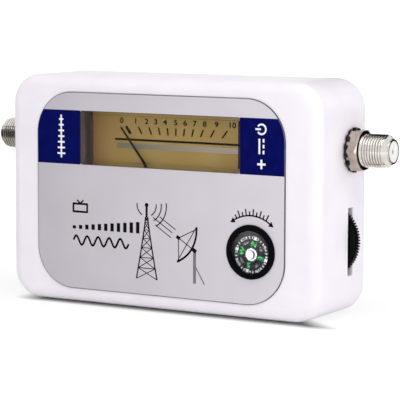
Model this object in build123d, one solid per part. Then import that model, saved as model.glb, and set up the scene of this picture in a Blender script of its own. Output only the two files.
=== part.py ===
from build123d import *
import math
import os

# TV signal finder in millimetres, standing on the long bottom side of its case.
# +Z is up, the printed face looks along -Y, the antenna port leaves along -X and the
# receiver port along +X. The origin is the middle of the flat bottom of the case.

# Case shells
case_width = 102.0
case_height = 66.0
case_depth = 30.0
case_corner_radius = 8.5
case_wall = 2.2
face_wall = 2.0
face_edge_radius = 3.5
rear_cover_depth = 2.8
rear_plate = 2.0
rear_edge_radius = 2.3
seam_bevel = 0.2
tongue_thickness = 1.2
tongue_reach = 1.5
tongue_end_inset = 16.0

# Screws that close the case
case_boss_radius = 3.0
case_boss_inset_x = 7.0
case_boss_inset_z = 6.2
case_screw_radius = 1.2
case_screw_length = 9.0
case_screw_head_radius = 2.3
case_screw_head_height = 1.3
case_screw_recess = 0.3
cross_slot_width = 0.6
cross_slot_depth = 0.7
cross_slot_share = 0.6

# Clearances
seat_clearance = 0.1
label_clearance = 0.15
window_clearance = 0.15
running_clearance = 0.05
screw_clearance = 0.05
overrun = 1.0

# Face label
label_side_margin = 10.0
label_bottom_margin = 4.25
label_top_margin = 4.75
label_corner_radius = 12.0
label_thickness = 0.5
label_proud = 0.3

# Window in the face
window_height = 15.6
window_left_margin = 15.0
window_right_margin = 14.1
window_top_margin = 5.25
window_corner_radius = 0.6
window_set_back = 0.2

# Meter housing
meter_side_overlap = 3.05
meter_side_shift = 1.65
meter_top_overlap = 4.0
meter_compass_gap = 1.6
meter_wall = 1.2
meter_cover_flange = 1.2
meter_cover_wall = 1.0
dial_depth = 7.0
scale_plate_thickness = 0.5
scale_plate_rise = 5.7
meter_floor = 1.2
drum_length = 11.6
drum_wall = 1.2
drum_ledge_depth = 3.0
drum_ledge_width = 1.1
meter_ear_radius = 3.0
meter_ear_gap = 0.3
meter_ear_drop = 15.0
meter_ear_thickness = 1.5
meter_screw_radius = 0.9
meter_screw_length = 3.4
meter_screw_head_radius = 1.8
meter_screw_head_height = 1.2

# Meter movement
pivot_rise = 1.3
half_sweep = 38.5
needle_tip_gap = 2.7
needle_tip_width = 0.34
needle_root_width = 0.9
needle_thickness = 0.2
needle_cover_gap = 0.55
needle_tail_length = 6.4
needle_eye_radius = 1.3
hub_radius = 1.6
hub_length = 1.2
hub_cover_gap = 0.2
weight_radius = 1.05
weight_length = 0.63
weight_arm = 5.2
front_shaft_radius = 0.5
rear_shaft_radius = 0.3
shaft_plate_radius = 1.6
shaft_plate_thickness = 0.4
collet_radius = 0.8
collet_length = 0.6
core_radius = 4.5
core_length = 5.6
coil_core_gap = 0.5
coil_frame_wall = 0.3
winding_thickness = 0.7
coil_width = 2.6
coil_end_gap = 0.7
yoke_gap = 0.5
yoke_radius = 10.1
yoke_length = 5.8
core_spacer_width = 2.8
core_spacer_length = 3.8
bridge_thickness = 0.8
bridge_width = 4.6
bridge_post_radius = 1.1
bridge_post_arm = 8.3
bridge_coil_gap = 1.6
bridge_screw_radius = 0.6
bridge_screw_bite = 1.0
bridge_screw_head_radius = 1.1
bridge_screw_head_height = 0.6
stop_radius = 0.3
stop_arm = 3.0
stop_gap = 0.15
spring_inner_radius = 0.95
spring_outer_radius = 3.15
spring_turns = 2.75
spring_points_per_turn = 12
spring_thickness = 0.15
spring_width = 0.4
spring_stud_radius = 0.35
jewel_radius = 1.4
jewel_length = 2.3
jewel_proud = 0.4
jewel_depth = 0.8
jewel_end_play = 0.1

# Meter terminals and leads
terminal_arm = 5.4
terminal_width = 1.8
terminal_thickness = 0.4
terminal_inside = 0.8
terminal_outside = 2.2
lead_radius = 0.55
lead_bend_radius = 1.2
lead_drop = 2.0

# Backlight
led_side_inset = 14.5
led_drop = 2.2
led_radius = 1.5
led_length = 4.4
led_flange_radius = 1.9
led_flange_height = 0.8
led_leg_radius = 0.25
led_leg_pitch = 1.27

# Compass in the face
compass_right_margin = 10.55
compass_bottom_margin = 14.75
bezel_radius = 7.6
bezel_proud = 0.6
bezel_edge_radius = 0.3
bezel_opening_radius = 5.95
capsule_radius = 7.2
capsule_cavity_radius = 6.75
capsule_depth = 5.6
capsule_floor = 0.6
capsule_cup_wall = 1.1
capsule_cup_height = 3.4
lens_radius = 6.7
lens_thickness = 0.6
lens_set_back = 0.25
lens_dome = 0.2
card_radius = 5.5
card_thickness = 0.4
card_depth = 1.2
card_drop = 0.9
card_side_shift = 0.55
card_hub_radius = 1.4
card_hub_height = 1.0
card_hub_rear = 0.7
hub_flange_thickness = 0.2
hub_neck_radius = 0.7
hub_cap_radius = 1.1
hub_cap_thickness = 0.35
card_cup_radius = 1.22
card_magnet_length = 6.4
card_magnet_width = 1.1
card_magnet_thickness = 0.7
card_magnet_arm = 2.3
compass_pin_radius = 0.12
compass_pin_gap = 0.25
compass_pin_foot_radius = 1.0
compass_pin_foot_height = 0.5

# Coaxial ports
port_board_gap = 4.6
port_height_share = 0.7068
receiver_port_reach = 12.5
antenna_port_reach = 16.4
thread_radius = 4.7
thread_depth = 0.42
thread_pitch = 0.794
thread_crest = 0.36
thread_start_gap = 0.15
plain_barrel_radius = 4.5
tip_length = 1.85
collar_radius = 4.45
collar_length = 0.65
lip_radius = 3.4
lip_cone_length = 0.75
lip_cone_radius = 3.6
barrel_bore_radius = 3.0
barrel_flange_radius = 5.3
barrel_flange_thickness = 1.6
barrel_tail_radius = 3.9
barrel_tail_length = 2.8
ground_tab_length = 3.6
ground_tab_width = 1.0
ground_tab_thickness = 0.9
ground_tab_spread = 2.6
washer_radius = 6.3
washer_thickness = 0.6
washer_dish = 0.35
washer_notch_depth = 0.9
washer_notch_width = 1.2
washer_teeth = 14
nut_across_flats = 11.0
nut_thickness = 3.2
nut_turn = 30.0
nut_chamfer_height = 0.5
insulator_recess = 0.1
insulator_mouth_radius = 0.75
insulator_mouth_length = 0.7
contact_radius = 0.95
contact_bore_radius = 0.6
contact_bore_depth = 6.0
contact_tail_radius = 0.45
contact_tail_bend = 1.0
contact_tail_reach = 3.4

# Gain control
wheel_radius = 10.5
wheel_width = 2.2
wheel_proud = 2.4
wheel_boss_gap = 1.3
wheel_board_gap = 6.4
wheel_teeth = 78
tooth_depth = 0.65
tooth_rise_share = 0.3
tooth_fall_share = 0.7
wheel_rim = 2.0
wheel_web = 1.3
wheel_hub_radius = 3.0
slot_height = 19.0
slot_width = 3.0
slot_corner_radius = 0.4
slot_edge_radius = 0.5
pot_radius = 5.4
pot_wheel_gap = 0.4
pot_shaft_radius = 1.5
pot_shaft_seat = 1.6
pot_bushing_radius = 2.4
pot_bushing_height = 0.25
wheel_screw_radius = 0.7
wheel_screw_bite = 2.0
wheel_screw_head_radius = 1.8
wheel_screw_head_height = 1.0
pot_tag_width = 1.0
pot_tag_thickness = 0.4
pot_tag_reach = 2.6
pot_tag_pitch = 2.5

# Circuit board
board_back_gap = 1.3
board_thickness = 1.4
board_port_gap = 0.8
board_bottom_margin = 8.0
board_top_margin = 7.8
board_tab_reach = 3.6
board_tab_below = 8.0
board_tab_above = 10.0
board_corner_radius = 1.0
board_boss_radius = 2.6
board_boss_shares = [(-0.872, 0.42), (0.86, 0.95), (-0.688, 0.066), (0.3, 0.066)]
board_screw_radius = 0.9
board_screw_length = 6.0
board_screw_head_radius = 1.9
board_screw_head_height = 1.2
board_hole_clearance = 0.2
bearing_access_gap = 0.5

# Parts on the circuit board, placed by shares of its half width and of its height
shield_width = 20.0
shield_height = 14.0
shield_depth = 4.2
shield_wall = 0.4
shield_side_gap = 5.6
shield_top_gap = 2.0
chip_width = 5.0
chip_height = 4.0
chip_depth = 1.5
chip_pin_reach = 0.9
chip_pin_width = 0.42
chip_pin_pitch = 1.27
chip_pin_count = 4
chip_shares = [(-0.505, 0.345), (0.62, 0.651)]
can_radius = 2.5
can_height = 5.2
can_base_height = 0.6
can_shares = [(-0.826, 0.17), (-0.275, 0.116), (0.688, 0.891)]
choke_radius = 2.2
choke_height = 3.0
choke_waist_radius = 1.5
choke_flange = 0.5
choke_shares = [(0.837, 0.796), (-0.72, 0.34), (0.5, 0.86)]
diode_radius = 0.8
diode_length = 3.4
diode_leg_radius = 0.25
diode_leg_reach = 1.4
diode_shares = [(-0.619, 0.214), (0.229, 0.902), (0.619, 0.531)]
chip_part_length = 2.0
chip_part_width = 1.25
chip_part_depth = 0.6
chip_part_pitch = 3.0
chip_part_counts = [4, 3, 2, 4]
chip_part_row_shares = [(-0.459, 0.225), (0.47, 0.47), (0.229, 0.7), (-0.2, 0.935)]
regulator_width = 6.5
regulator_height = 3.5
regulator_depth = 1.7
regulator_tab_reach = 1.3
regulator_pin_reach = 1.6
regulator_tag_gap = 3.15

# Planes and levels that several pieces share
front_y = -case_depth / 2
back_y = case_depth / 2
face_inner_y = front_y + face_wall
seam_y = back_y - rear_cover_depth
plate_inner_y = back_y - rear_plate
side_x = case_width / 2
side_inner_x = side_x - case_wall
case_middle_z = case_height / 2
label_width = case_width - 2 * label_side_margin
label_height = case_height - label_bottom_margin - label_top_margin
label_centre_z = label_bottom_margin + label_height / 2
label_front_y = front_y - label_proud
label_seat_y = label_front_y + label_thickness
cover_front_y = face_inner_y + seat_clearance
cover_rear_y = cover_front_y + meter_cover_flange
dial_front_y = label_front_y + dial_depth
floor_front_y = dial_front_y + scale_plate_thickness
floor_rear_y = floor_front_y + meter_floor
drum_rear_y = floor_rear_y + drum_length
drum_floor_y = drum_rear_y - meter_wall
drum_radius = yoke_radius + seat_clearance + drum_wall
board_front_y = plate_inner_y - board_back_gap - board_thickness
board_rear_y = board_front_y + board_thickness
wheel_front_y = board_front_y - wheel_board_gap
wheel_rear_y = wheel_front_y + wheel_width
wheel_centre_x = side_x + wheel_proud - wheel_radius
wheel_centre_z = case_boss_inset_z + case_boss_radius + wheel_boss_gap + wheel_radius
port_y = board_front_y - port_board_gap
port_z = case_height * port_height_share

# Places on the face, from the edges of the label
window_width = label_width - window_left_margin - window_right_margin
window_top_z = label_centre_z + label_height / 2 - window_top_margin
window_centre_x = (window_left_margin - window_right_margin) / 2
window_centre_z = window_top_z - window_height / 2
compass_centre_x = label_width / 2 - compass_right_margin
compass_centre_z = label_bottom_margin + compass_bottom_margin
compass_cup_radius = capsule_radius + seat_clearance + capsule_cup_wall

# Places of the meter and of its pivot
meter_width = window_width + 2 * meter_side_overlap
meter_centre_x = window_centre_x + meter_side_shift
meter_top_z = window_top_z + meter_top_overlap
meter_bottom_z = compass_centre_z + compass_cup_radius + meter_compass_gap
meter_ear_z = meter_top_z - meter_ear_drop
pivot_z = meter_bottom_z + pivot_rise
needle_length = meter_top_z - pivot_z - needle_tip_gap

# Edges of the circuit board
barrel_flange_x = -case_wall - barrel_flange_thickness
barrel_inner_x = barrel_flange_x - barrel_tail_length
board_half_width = side_x + barrel_inner_x - board_port_gap
board_bottom_z = case_wall + board_bottom_margin
board_top_z = case_height - case_wall - board_top_margin

# Stations along the axis of the meter movement
yoke_rear_y = drum_floor_y - drum_ledge_depth
yoke_front_y = yoke_rear_y - yoke_length
core_middle_y = (yoke_front_y + yoke_rear_y) / 2
core_front_y = core_middle_y - core_length / 2
core_rear_y = core_middle_y + core_length / 2
frame_half_x = core_radius + coil_core_gap
frame_front_y = core_front_y - coil_end_gap
frame_rear_y = core_rear_y + coil_end_gap
coil_front_y = frame_front_y - coil_frame_wall - winding_thickness
coil_rear_y = frame_rear_y + coil_frame_wall + winding_thickness
coil_half_x = frame_half_x + coil_frame_wall + winding_thickness
yoke_bore_radius = coil_half_x + yoke_gap
bridge_rear_y = coil_front_y - bridge_coil_gap
bridge_front_y = bridge_rear_y - bridge_thickness
needle_front_y = cover_rear_y + needle_cover_gap
needle_rear_y = needle_front_y + needle_thickness
hub_front_y = cover_rear_y + hub_cover_gap
hub_rear_y = hub_front_y + hub_length
spring_front_y = bridge_rear_y + (bridge_coil_gap - shaft_plate_thickness - spring_width) / 2

CENTRED = (Align.CENTER, Align.CENTER, Align.CENTER)
FROM_BASE = (Align.CENTER, Align.CENTER, Align.MIN)


def facing(y):
    """Plane seen from the front of the case: its own x is X and its own y is Z."""
    return Plane(origin=(0, y, 0), x_dir=(1, 0, 0), z_dir=(0, -1, 0))


def slab(outline, y_from, y_to):
    """Extrude an outline drawn in X and Z from one depth to another."""
    return extrude(facing(y_to) * outline, amount=y_to - y_from)


def rod_y(radius, y_from, y_to, x=0, z=0):
    """Round rod along Y."""
    return Pos(x, y_from, z) * Rot(-90, 0, 0) * Cylinder(radius, y_to - y_from, align=FROM_BASE)


def tube_y(outer, inner, y_from, y_to, x=0, z=0):
    """Round tube along Y."""
    return rod_y(outer, y_from, y_to, x, z) - rod_y(inner, y_from - overrun, y_to + overrun, x, z)


def block(x_from, x_to, y_from, y_to, z_from, z_to):
    """Box between its corners."""
    middle = Pos((x_from + x_to) / 2, (y_from + y_to) / 2, (z_from + z_to) / 2)
    return middle * Box(x_to - x_from, y_to - y_from, z_to - z_from, align=CENTRED)


def rounded_slab(width, height, radius, y_from, y_to, x=0, z=0):
    """Rounded rectangle in X and Z, extruded along Y."""
    return slab(Pos(x, z) * RectangleRounded(width, height, radius), y_from, y_to)


def cross_slot(head_radius, y_from, y_to):
    """Cross recess for a screwdriver, along Y."""
    reach = head_radius * cross_slot_share
    half = cross_slot_width / 2
    across = block(-reach, reach, y_from, y_to, -half, half)
    return across + block(-half, half, y_from, y_to, -reach, reach)


def screw_into_face(radius, length, head_radius, head_height, seat_y):
    """Screw driven towards -Y, with its head behind the seat."""
    head = rod_y(head_radius, seat_y, seat_y + head_height)
    shank = rod_y(radius, seat_y - length, seat_y)
    slot_from = seat_y + head_height - min(cross_slot_depth, head_height / 2)
    return head + shank - cross_slot(head_radius, slot_from, seat_y + head_height + overrun)


def screw_from_front(radius, length, head_radius, head_height, seat_y):
    """Screw driven towards +Y, with its head in front of the seat."""
    head = rod_y(head_radius, seat_y - head_height, seat_y)
    shank = rod_y(radius, seat_y, seat_y + length)
    slot_to = seat_y - head_height + min(cross_slot_depth, head_height / 2)
    return head + shank - cross_slot(head_radius, seat_y - head_height - overrun, slot_to)


def group(solids):
    """Several separate solids as one node."""
    return Compound(children=list(solids))


def placed(shape, places):
    """Copies of a shape at places given as X and Z."""
    return [Pos(x, 0, z) * shape for x, z in places]


def on_board(shares):
    """Places on the board from shares of its half width and of its height."""
    height = board_top_z - board_bottom_z
    return [(across * board_half_width, board_bottom_z + up * height) for across, up in shares]


# Case
board_boss_places = on_board(board_boss_shares)
case_boss_places = [
    (sign * (side_x - case_boss_inset_x), height)
    for sign in (-1, 1)
    for height in (case_boss_inset_z, case_height - case_boss_inset_z)
]
meter_ear_arm = meter_width / 2 + meter_ear_gap + meter_ear_radius
meter_ear_places = [
    (meter_centre_x + sign * meter_ear_arm, meter_ear_z)
    for sign in (-1, 1)
]
boss_hole_radius = case_screw_radius + screw_clearance
head_seat_y = back_y - case_screw_recess - case_screw_head_height


def inner_outline():
    """Inside of the side walls."""
    inside = RectangleRounded(
        case_width - 2 * case_wall,
        case_height - 2 * case_wall,
        case_corner_radius - case_wall,
    )
    return Pos(0, case_middle_z) * inside


def front_case():
    """Deep front shell: face, four side walls and the bosses that carry the rest."""
    outer = rounded_slab(
        case_width, case_height, case_corner_radius, front_y, seam_y, z=case_middle_z
    )
    outer = fillet(outer.faces().sort_by(Axis.Y)[0].edges(), face_edge_radius)
    outer = chamfer(outer.faces().sort_by(Axis.Y)[-1].edges(), seam_bevel)
    shell = outer - slab(inner_outline(), face_inner_y, seam_y + overrun)

    case_boss = rod_y(case_boss_radius, front_y + face_wall / 2, seam_y)
    shell += placed(case_boss, case_boss_places)
    board_boss = rod_y(board_boss_radius, front_y + face_wall / 2, board_front_y)
    shell += placed(board_boss, board_boss_places)
    ear_boss = rod_y(meter_ear_radius, front_y + face_wall / 2, cover_rear_y)
    shell += placed(ear_boss, meter_ear_places)
    shell += rod_y(
        compass_cup_radius,
        front_y + face_wall / 2,
        face_inner_y + capsule_cup_height,
        compass_centre_x,
        compass_centre_z,
    )

    shell -= rounded_slab(
        label_width + 2 * label_clearance,
        label_height + 2 * label_clearance,
        label_corner_radius + label_clearance,
        front_y - overrun,
        label_seat_y,
        z=label_centre_z,
    )
    shell -= rounded_slab(
        window_width,
        window_height,
        window_corner_radius,
        front_y - overrun,
        face_inner_y + overrun,
        window_centre_x,
        window_centre_z,
    )
    shell -= rod_y(
        capsule_radius + seat_clearance,
        front_y - overrun,
        face_inner_y + capsule_cup_height + overrun,
        compass_centre_x,
        compass_centre_z,
    )
    case_hole = rod_y(boss_hole_radius, head_seat_y - case_screw_length, seam_y + overrun)
    shell -= placed(case_hole, case_boss_places)
    board_hole = rod_y(
        board_screw_radius + screw_clearance,
        board_rear_y - board_screw_length - overrun,
        board_front_y + overrun,
    )
    shell -= placed(board_hole, board_boss_places)
    ear_hole = rod_y(
        meter_screw_radius + screw_clearance,
        cover_rear_y + meter_ear_thickness - meter_screw_length,
        cover_rear_y + overrun,
    )
    shell -= placed(ear_hole, meter_ear_places)

    port_hole = Pos(0, port_y, port_z) * Rot(0, 90, 0) * Cylinder(
        plain_barrel_radius + seat_clearance, case_width + 2 * overrun, align=CENTRED
    )
    shell -= port_hole - block(
        -side_inner_x, side_inner_x, front_y, back_y, 0, case_height
    )
    slot_outline = RectangleRounded(slot_width, slot_height, slot_corner_radius)
    slot_middle_y = wheel_front_y + wheel_width / 2
    slot_plane = Plane(origin=(side_inner_x - overrun, slot_middle_y, wheel_centre_z),
                       x_dir=(0, 1, 0), z_dir=(1, 0, 0))
    shell -= extrude(slot_plane * slot_outline, amount=case_wall + 2 * overrun)
    slot_rim = [
        edge
        for edge in shell.edges().filter_by_position(Axis.X, side_x - overrun, side_x + overrun)
        if abs(edge.center().Y - slot_middle_y) < slot_width
        and abs(edge.center().Z - wheel_centre_z) < slot_height
    ]
    return fillet(slot_rim, slot_edge_radius)


def rear_cover():
    """Shallow rear shell with a tongue along its long sides."""
    outer = rounded_slab(
        case_width, case_height, case_corner_radius, seam_y, back_y, z=case_middle_z
    )
    outer = fillet(outer.faces().sort_by(Axis.Y)[-1].edges(), rear_edge_radius)
    outer = chamfer(outer.faces().sort_by(Axis.Y)[0].edges(), seam_bevel)
    cover = outer - slab(inner_outline(), seam_y - overrun, plate_inner_y)

    post = rod_y(case_boss_radius, seam_y, plate_inner_y + rear_plate / 2)
    cover += placed(post, case_boss_places)
    tongue_half = side_x - tongue_end_inset
    tongue_foot = case_wall + seat_clearance
    lower = block(
        -tongue_half,
        tongue_half,
        seam_y - tongue_reach,
        plate_inner_y + rear_plate / 2,
        tongue_foot,
        tongue_foot + tongue_thickness,
    )
    cover += lower
    cover += Pos(0, 0, case_height - 2 * tongue_foot - tongue_thickness) * lower

    counterbore = rod_y(
        case_screw_head_radius + 2 * seat_clearance, head_seat_y, back_y + overrun
    )
    cover -= placed(counterbore, case_boss_places)
    through = rod_y(
        case_screw_radius + seat_clearance, seam_y - overrun, head_seat_y + overrun
    )
    return cover - placed(through, case_boss_places)


def case_screws():
    """Four self-tapping screws that close the case from behind."""
    screw = screw_into_face(
        case_screw_radius,
        case_screw_length - seat_clearance,
        case_screw_head_radius,
        case_screw_head_height,
        head_seat_y,
    )
    return group(placed(screw, case_boss_places))


def face_label():
    """Printed plate bonded in the shallow recess of the face."""
    plate = rounded_slab(
        label_width,
        label_height,
        label_corner_radius,
        label_front_y,
        label_seat_y,
        z=label_centre_z,
    )
    plate -= rounded_slab(
        window_width,
        window_height,
        window_corner_radius,
        label_front_y - overrun,
        label_seat_y + overrun,
        window_centre_x,
        window_centre_z,
    )
    return plate - rod_y(
        capsule_radius + seat_clearance,
        label_front_y - overrun,
        label_seat_y + overrun,
        compass_centre_x,
        compass_centre_z,
    )


# Meter housing
def meter_outline(margin):
    """Rectangle of the dial joined to the round end over the movement."""
    width = meter_width - 2 * margin
    height = meter_top_z - meter_bottom_z - 2 * margin
    dial = Pos(meter_centre_x, (meter_top_z + meter_bottom_z) / 2) * Rectangle(width, height)
    round_end = Pos(meter_centre_x, pivot_z) * Circle(drum_radius - margin)
    return dial + round_end


def meter_cover():
    """Clear cover whose raised window fills the opening in the face."""
    raised_width = window_width - 2 * window_clearance
    raised_height = window_height - 2 * window_clearance
    raised_front_y = label_front_y + window_set_back
    cover = slab(meter_outline(0), cover_front_y, cover_rear_y)
    cover += rounded_slab(
        raised_width,
        raised_height,
        window_corner_radius,
        raised_front_y,
        cover_rear_y,
        window_centre_x,
        window_centre_z,
    )
    return cover - rounded_slab(
        raised_width - 2 * meter_cover_wall,
        raised_height - 2 * meter_cover_wall,
        window_corner_radius / 2,
        raised_front_y + meter_cover_wall,
        cover_rear_y + overrun,
        window_centre_x,
        window_centre_z,
    )


led_arm = meter_width / 2 - led_side_inset
led_places = [(meter_centre_x + sign * led_arm, window_centre_z - led_drop) for sign in (-1, 1)]
drum_ledge_radius = yoke_radius - drum_ledge_width
terminal_y = drum_floor_y - drum_ledge_depth / 2
terminal_top_z = pivot_z + terminal_inside - math.sqrt(drum_ledge_radius**2 - terminal_arm**2)
terminal_bottom_z = pivot_z - terminal_outside - math.sqrt(drum_radius**2 - terminal_arm**2)
terminal_places = [(meter_centre_x + sign * terminal_arm, 0) for sign in (-1, 1)]


def meter_base():
    """Dark tray behind the dial, with the drum that holds the movement."""
    base = slab(meter_outline(0), cover_rear_y, floor_rear_y)
    base -= slab(meter_outline(meter_wall), cover_rear_y - overrun, floor_front_y)
    base += rod_y(drum_radius, floor_front_y, drum_rear_y, meter_centre_x, pivot_z)
    base -= rod_y(
        yoke_radius + seat_clearance,
        floor_front_y - overrun,
        yoke_rear_y,
        meter_centre_x,
        pivot_z,
    )
    base -= rod_y(
        drum_ledge_radius,
        yoke_rear_y - overrun,
        drum_floor_y,
        meter_centre_x,
        pivot_z,
    )
    for sign in (-1, 1):
        ear_x = meter_centre_x + sign * meter_ear_arm
        ear_root_x = meter_centre_x + sign * (meter_width / 2 - meter_wall / 2)
        ear = rod_y(
            meter_ear_radius, cover_rear_y, cover_rear_y + meter_ear_thickness, ear_x, meter_ear_z
        )
        ear += block(
            min(ear_x, ear_root_x),
            max(ear_x, ear_root_x),
            cover_rear_y,
            cover_rear_y + meter_ear_thickness,
            meter_ear_z - meter_ear_radius,
            meter_ear_z + meter_ear_radius,
        )
        ear -= rod_y(
            meter_screw_radius + seat_clearance,
            cover_rear_y - overrun,
            cover_rear_y + meter_ear_thickness + overrun,
            ear_x,
            meter_ear_z,
        )
        base += ear
    led_hole = rod_y(led_radius + seat_clearance, floor_front_y - overrun, floor_rear_y + overrun)
    base -= placed(led_hole, led_places)
    terminal_hole = block(
        -terminal_width / 2 - seat_clearance,
        terminal_width / 2 + seat_clearance,
        terminal_y - terminal_thickness / 2 - seat_clearance,
        terminal_y + terminal_thickness / 2 + seat_clearance,
        terminal_bottom_z,
        terminal_top_z,
    )
    base -= placed(terminal_hole, terminal_places)
    return base - rod_y(
        jewel_radius + seat_clearance / 2,
        drum_floor_y - overrun,
        drum_rear_y + overrun,
        meter_centre_x,
        pivot_z,
    )


def meter_screws():
    """Two screws that hold the meter to the face."""
    screw = screw_into_face(
        meter_screw_radius,
        meter_screw_length - seat_clearance,
        meter_screw_head_radius,
        meter_screw_head_height,
        cover_rear_y + meter_ear_thickness,
    )
    return group(placed(screw, meter_ear_places))


def scale_plate():
    """Translucent dial that carries the scale."""
    half_width = meter_width / 2 - meter_wall - seat_clearance
    plate = block(
        meter_centre_x - half_width,
        meter_centre_x + half_width,
        dial_front_y,
        floor_front_y,
        pivot_z + scale_plate_rise,
        meter_top_z - meter_wall - seat_clearance,
    )
    return plate


# Meter movement, drawn round the Y axis with the needle upright
def at_pivot(shape):
    """Move a piece of the movement to the pivot."""
    return Pos(meter_centre_x, 0, pivot_z) * shape


def at_zero(shape):
    """Turn a moving piece back to the zero of the scale, at the pivot."""
    return at_pivot(Rot(0, -half_sweep, 0) * shape)


def needle():
    """Blade from its tail to its tip, with an eye round the shaft."""
    blade = Polygon(
        (-needle_root_width / 2, -needle_tail_length),
        (needle_root_width / 2, -needle_tail_length),
        (needle_root_width / 2, hub_radius),
        (needle_tip_width / 2, needle_length),
        (-needle_tip_width / 2, needle_length),
        (-needle_root_width / 2, hub_radius),
        align=None,
    )
    blade += Circle(needle_eye_radius)
    solid = slab(blade, needle_front_y, needle_rear_y)
    bore = rod_y(front_shaft_radius, needle_front_y - overrun, needle_rear_y + overrun)
    return at_zero(solid - bore)


def needle_hub():
    """Bush behind the needle that grips the shaft."""
    return at_zero(tube_y(hub_radius, front_shaft_radius, needle_rear_y, hub_rear_y))


def counterweight():
    """Balance weight under the tail of the needle."""
    return at_zero(rod_y(weight_radius, needle_rear_y, needle_rear_y + weight_length, 0, -weight_arm))


def pointer_shafts():
    """Front shaft with its collet, and the short rear pivot, on the ends of the coil."""
    front_plate_y = coil_front_y - shaft_plate_thickness
    front = rod_y(shaft_plate_radius, front_plate_y, coil_front_y)
    front += rod_y(front_shaft_radius, hub_front_y, coil_front_y)
    front += rod_y(collet_radius, front_plate_y - collet_length, front_plate_y)
    rear_plate_y = coil_rear_y + shaft_plate_thickness
    jewel_front_y = drum_rear_y + jewel_proud - jewel_length
    rear = rod_y(shaft_plate_radius, coil_rear_y, rear_plate_y)
    rear += rod_y(
        rear_shaft_radius, coil_rear_y, jewel_front_y + jewel_depth - jewel_end_play
    )
    return group([at_zero(front), at_zero(rear)])


def coil_frame():
    """Thin metal former round the core."""
    half = coil_width / 2
    outer = block(
        -frame_half_x - coil_frame_wall,
        frame_half_x + coil_frame_wall,
        frame_front_y - coil_frame_wall,
        frame_rear_y + coil_frame_wall,
        -half,
        half,
    )
    inner = block(
        -frame_half_x, frame_half_x, frame_front_y, frame_rear_y, -half - overrun, half + overrun
    )
    return at_zero(outer - inner)


def coil_winding():
    """Wire winding on the former."""
    half = coil_width / 2
    outer = block(-coil_half_x, coil_half_x, coil_front_y, coil_rear_y, -half, half)
    inner = block(
        -frame_half_x - coil_frame_wall,
        frame_half_x + coil_frame_wall,
        frame_front_y - coil_frame_wall,
        frame_rear_y + coil_frame_wall,
        -half - overrun,
        half + overrun,
    )
    return at_zero(outer - inner)


def hairspring():
    """Flat spiral from the collet to the stud on the bridge."""
    steps = spring_points_per_turn * math.ceil(spring_turns)
    edges = []
    for offset in (-spring_thickness / 2, spring_thickness / 2):
        points = []
        for step in range(steps + 1):
            share = step / steps
            radius = spring_inner_radius + offset
            radius += share * (spring_outer_radius - spring_inner_radius)
            turn = share * spring_turns * 2 * math.pi
            points.append((radius * math.cos(turn), radius * math.sin(turn)))
        edges.append(points)
    outline = [
        Spline(*edges[0]),
        Spline(*edges[1]),
        Line(edges[0][0], edges[1][0]),
        Line(edges[0][-1], edges[1][-1]),
    ]
    return at_pivot(slab(make_face(outline), spring_front_y, spring_front_y + spring_width))


spring_end_turn = math.radians(360 * spring_turns)
stud_arm = spring_outer_radius + spring_thickness / 2 + spring_stud_radius + running_clearance
bridge_post_places = [(-bridge_post_arm, 0), (bridge_post_arm, 0)]


def front_bridge():
    """Bar across the coil with the front bearing, needle stops and spring stud."""
    half_length = bridge_post_arm + bridge_post_radius
    bar = block(
        -half_length,
        half_length,
        bridge_front_y,
        bridge_rear_y,
        -bridge_width / 2,
        bridge_width / 2,
    )
    post = rod_y(bridge_post_radius, bridge_rear_y - bridge_thickness / 2, yoke_front_y)
    bar += placed(post, bridge_post_places)
    stop_angle = math.radians(half_sweep) + math.atan2(
        needle_root_width / 2 + stop_gap + stop_radius, stop_arm
    )
    for sign in (-1, 1):
        bar += rod_y(
            stop_radius,
            hub_front_y,
            bridge_rear_y,
            sign * stop_arm * math.sin(stop_angle),
            -stop_arm * math.cos(stop_angle),
        )
    bar += rod_y(
        spring_stud_radius,
        bridge_front_y,
        spring_front_y + spring_width,
        stud_arm * math.cos(spring_end_turn),
        stud_arm * math.sin(spring_end_turn),
    )
    bar += block(
        -spring_stud_radius,
        spring_stud_radius,
        bridge_front_y,
        bridge_rear_y,
        min(0, stud_arm * math.sin(spring_end_turn)),
        max(0, stud_arm * math.sin(spring_end_turn)),
    )
    bar -= rod_y(
        front_shaft_radius + running_clearance, bridge_front_y - overrun, bridge_rear_y + overrun
    )
    screw_hole = rod_y(
        bridge_screw_radius + screw_clearance, bridge_front_y - overrun, yoke_front_y + overrun
    )
    return at_pivot(bar - placed(screw_hole, bridge_post_places))


def bridge_screws():
    """Two screws from the bridge into the yoke."""
    screw = screw_from_front(
        bridge_screw_radius,
        yoke_front_y - bridge_front_y + bridge_screw_bite,
        bridge_screw_head_radius,
        bridge_screw_head_height,
        bridge_front_y,
    )
    return group([at_pivot(one) for one in placed(screw, bridge_post_places)])


def meter_yoke():
    """Soft iron ring round the coil."""
    ring = tube_y(yoke_radius, yoke_bore_radius, yoke_front_y, yoke_rear_y)
    screw_hole = rod_y(
        bridge_screw_radius + screw_clearance,
        yoke_front_y - overrun,
        yoke_front_y + bridge_screw_bite + seat_clearance,
    )
    return at_pivot(ring - placed(screw_hole, bridge_post_places))


def core_magnet():
    """Round magnet inside the coil."""
    return at_pivot(rod_y(core_radius, core_front_y, core_rear_y))


def core_spacers():
    """Two brass keys that hold the core in the middle of the yoke."""
    ring = tube_y(
        yoke_bore_radius - running_clearance,
        core_radius + running_clearance,
        core_middle_y - core_spacer_length / 2,
        core_middle_y + core_spacer_length / 2,
    )
    half = core_spacer_width / 2
    keys = []
    for low, high in ((0, yoke_bore_radius), (-yoke_bore_radius, 0)):
        keep = block(-half, half, front_y, back_y, low, high)
        keys.append(at_pivot(ring & keep))
    return group(keys)


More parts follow.
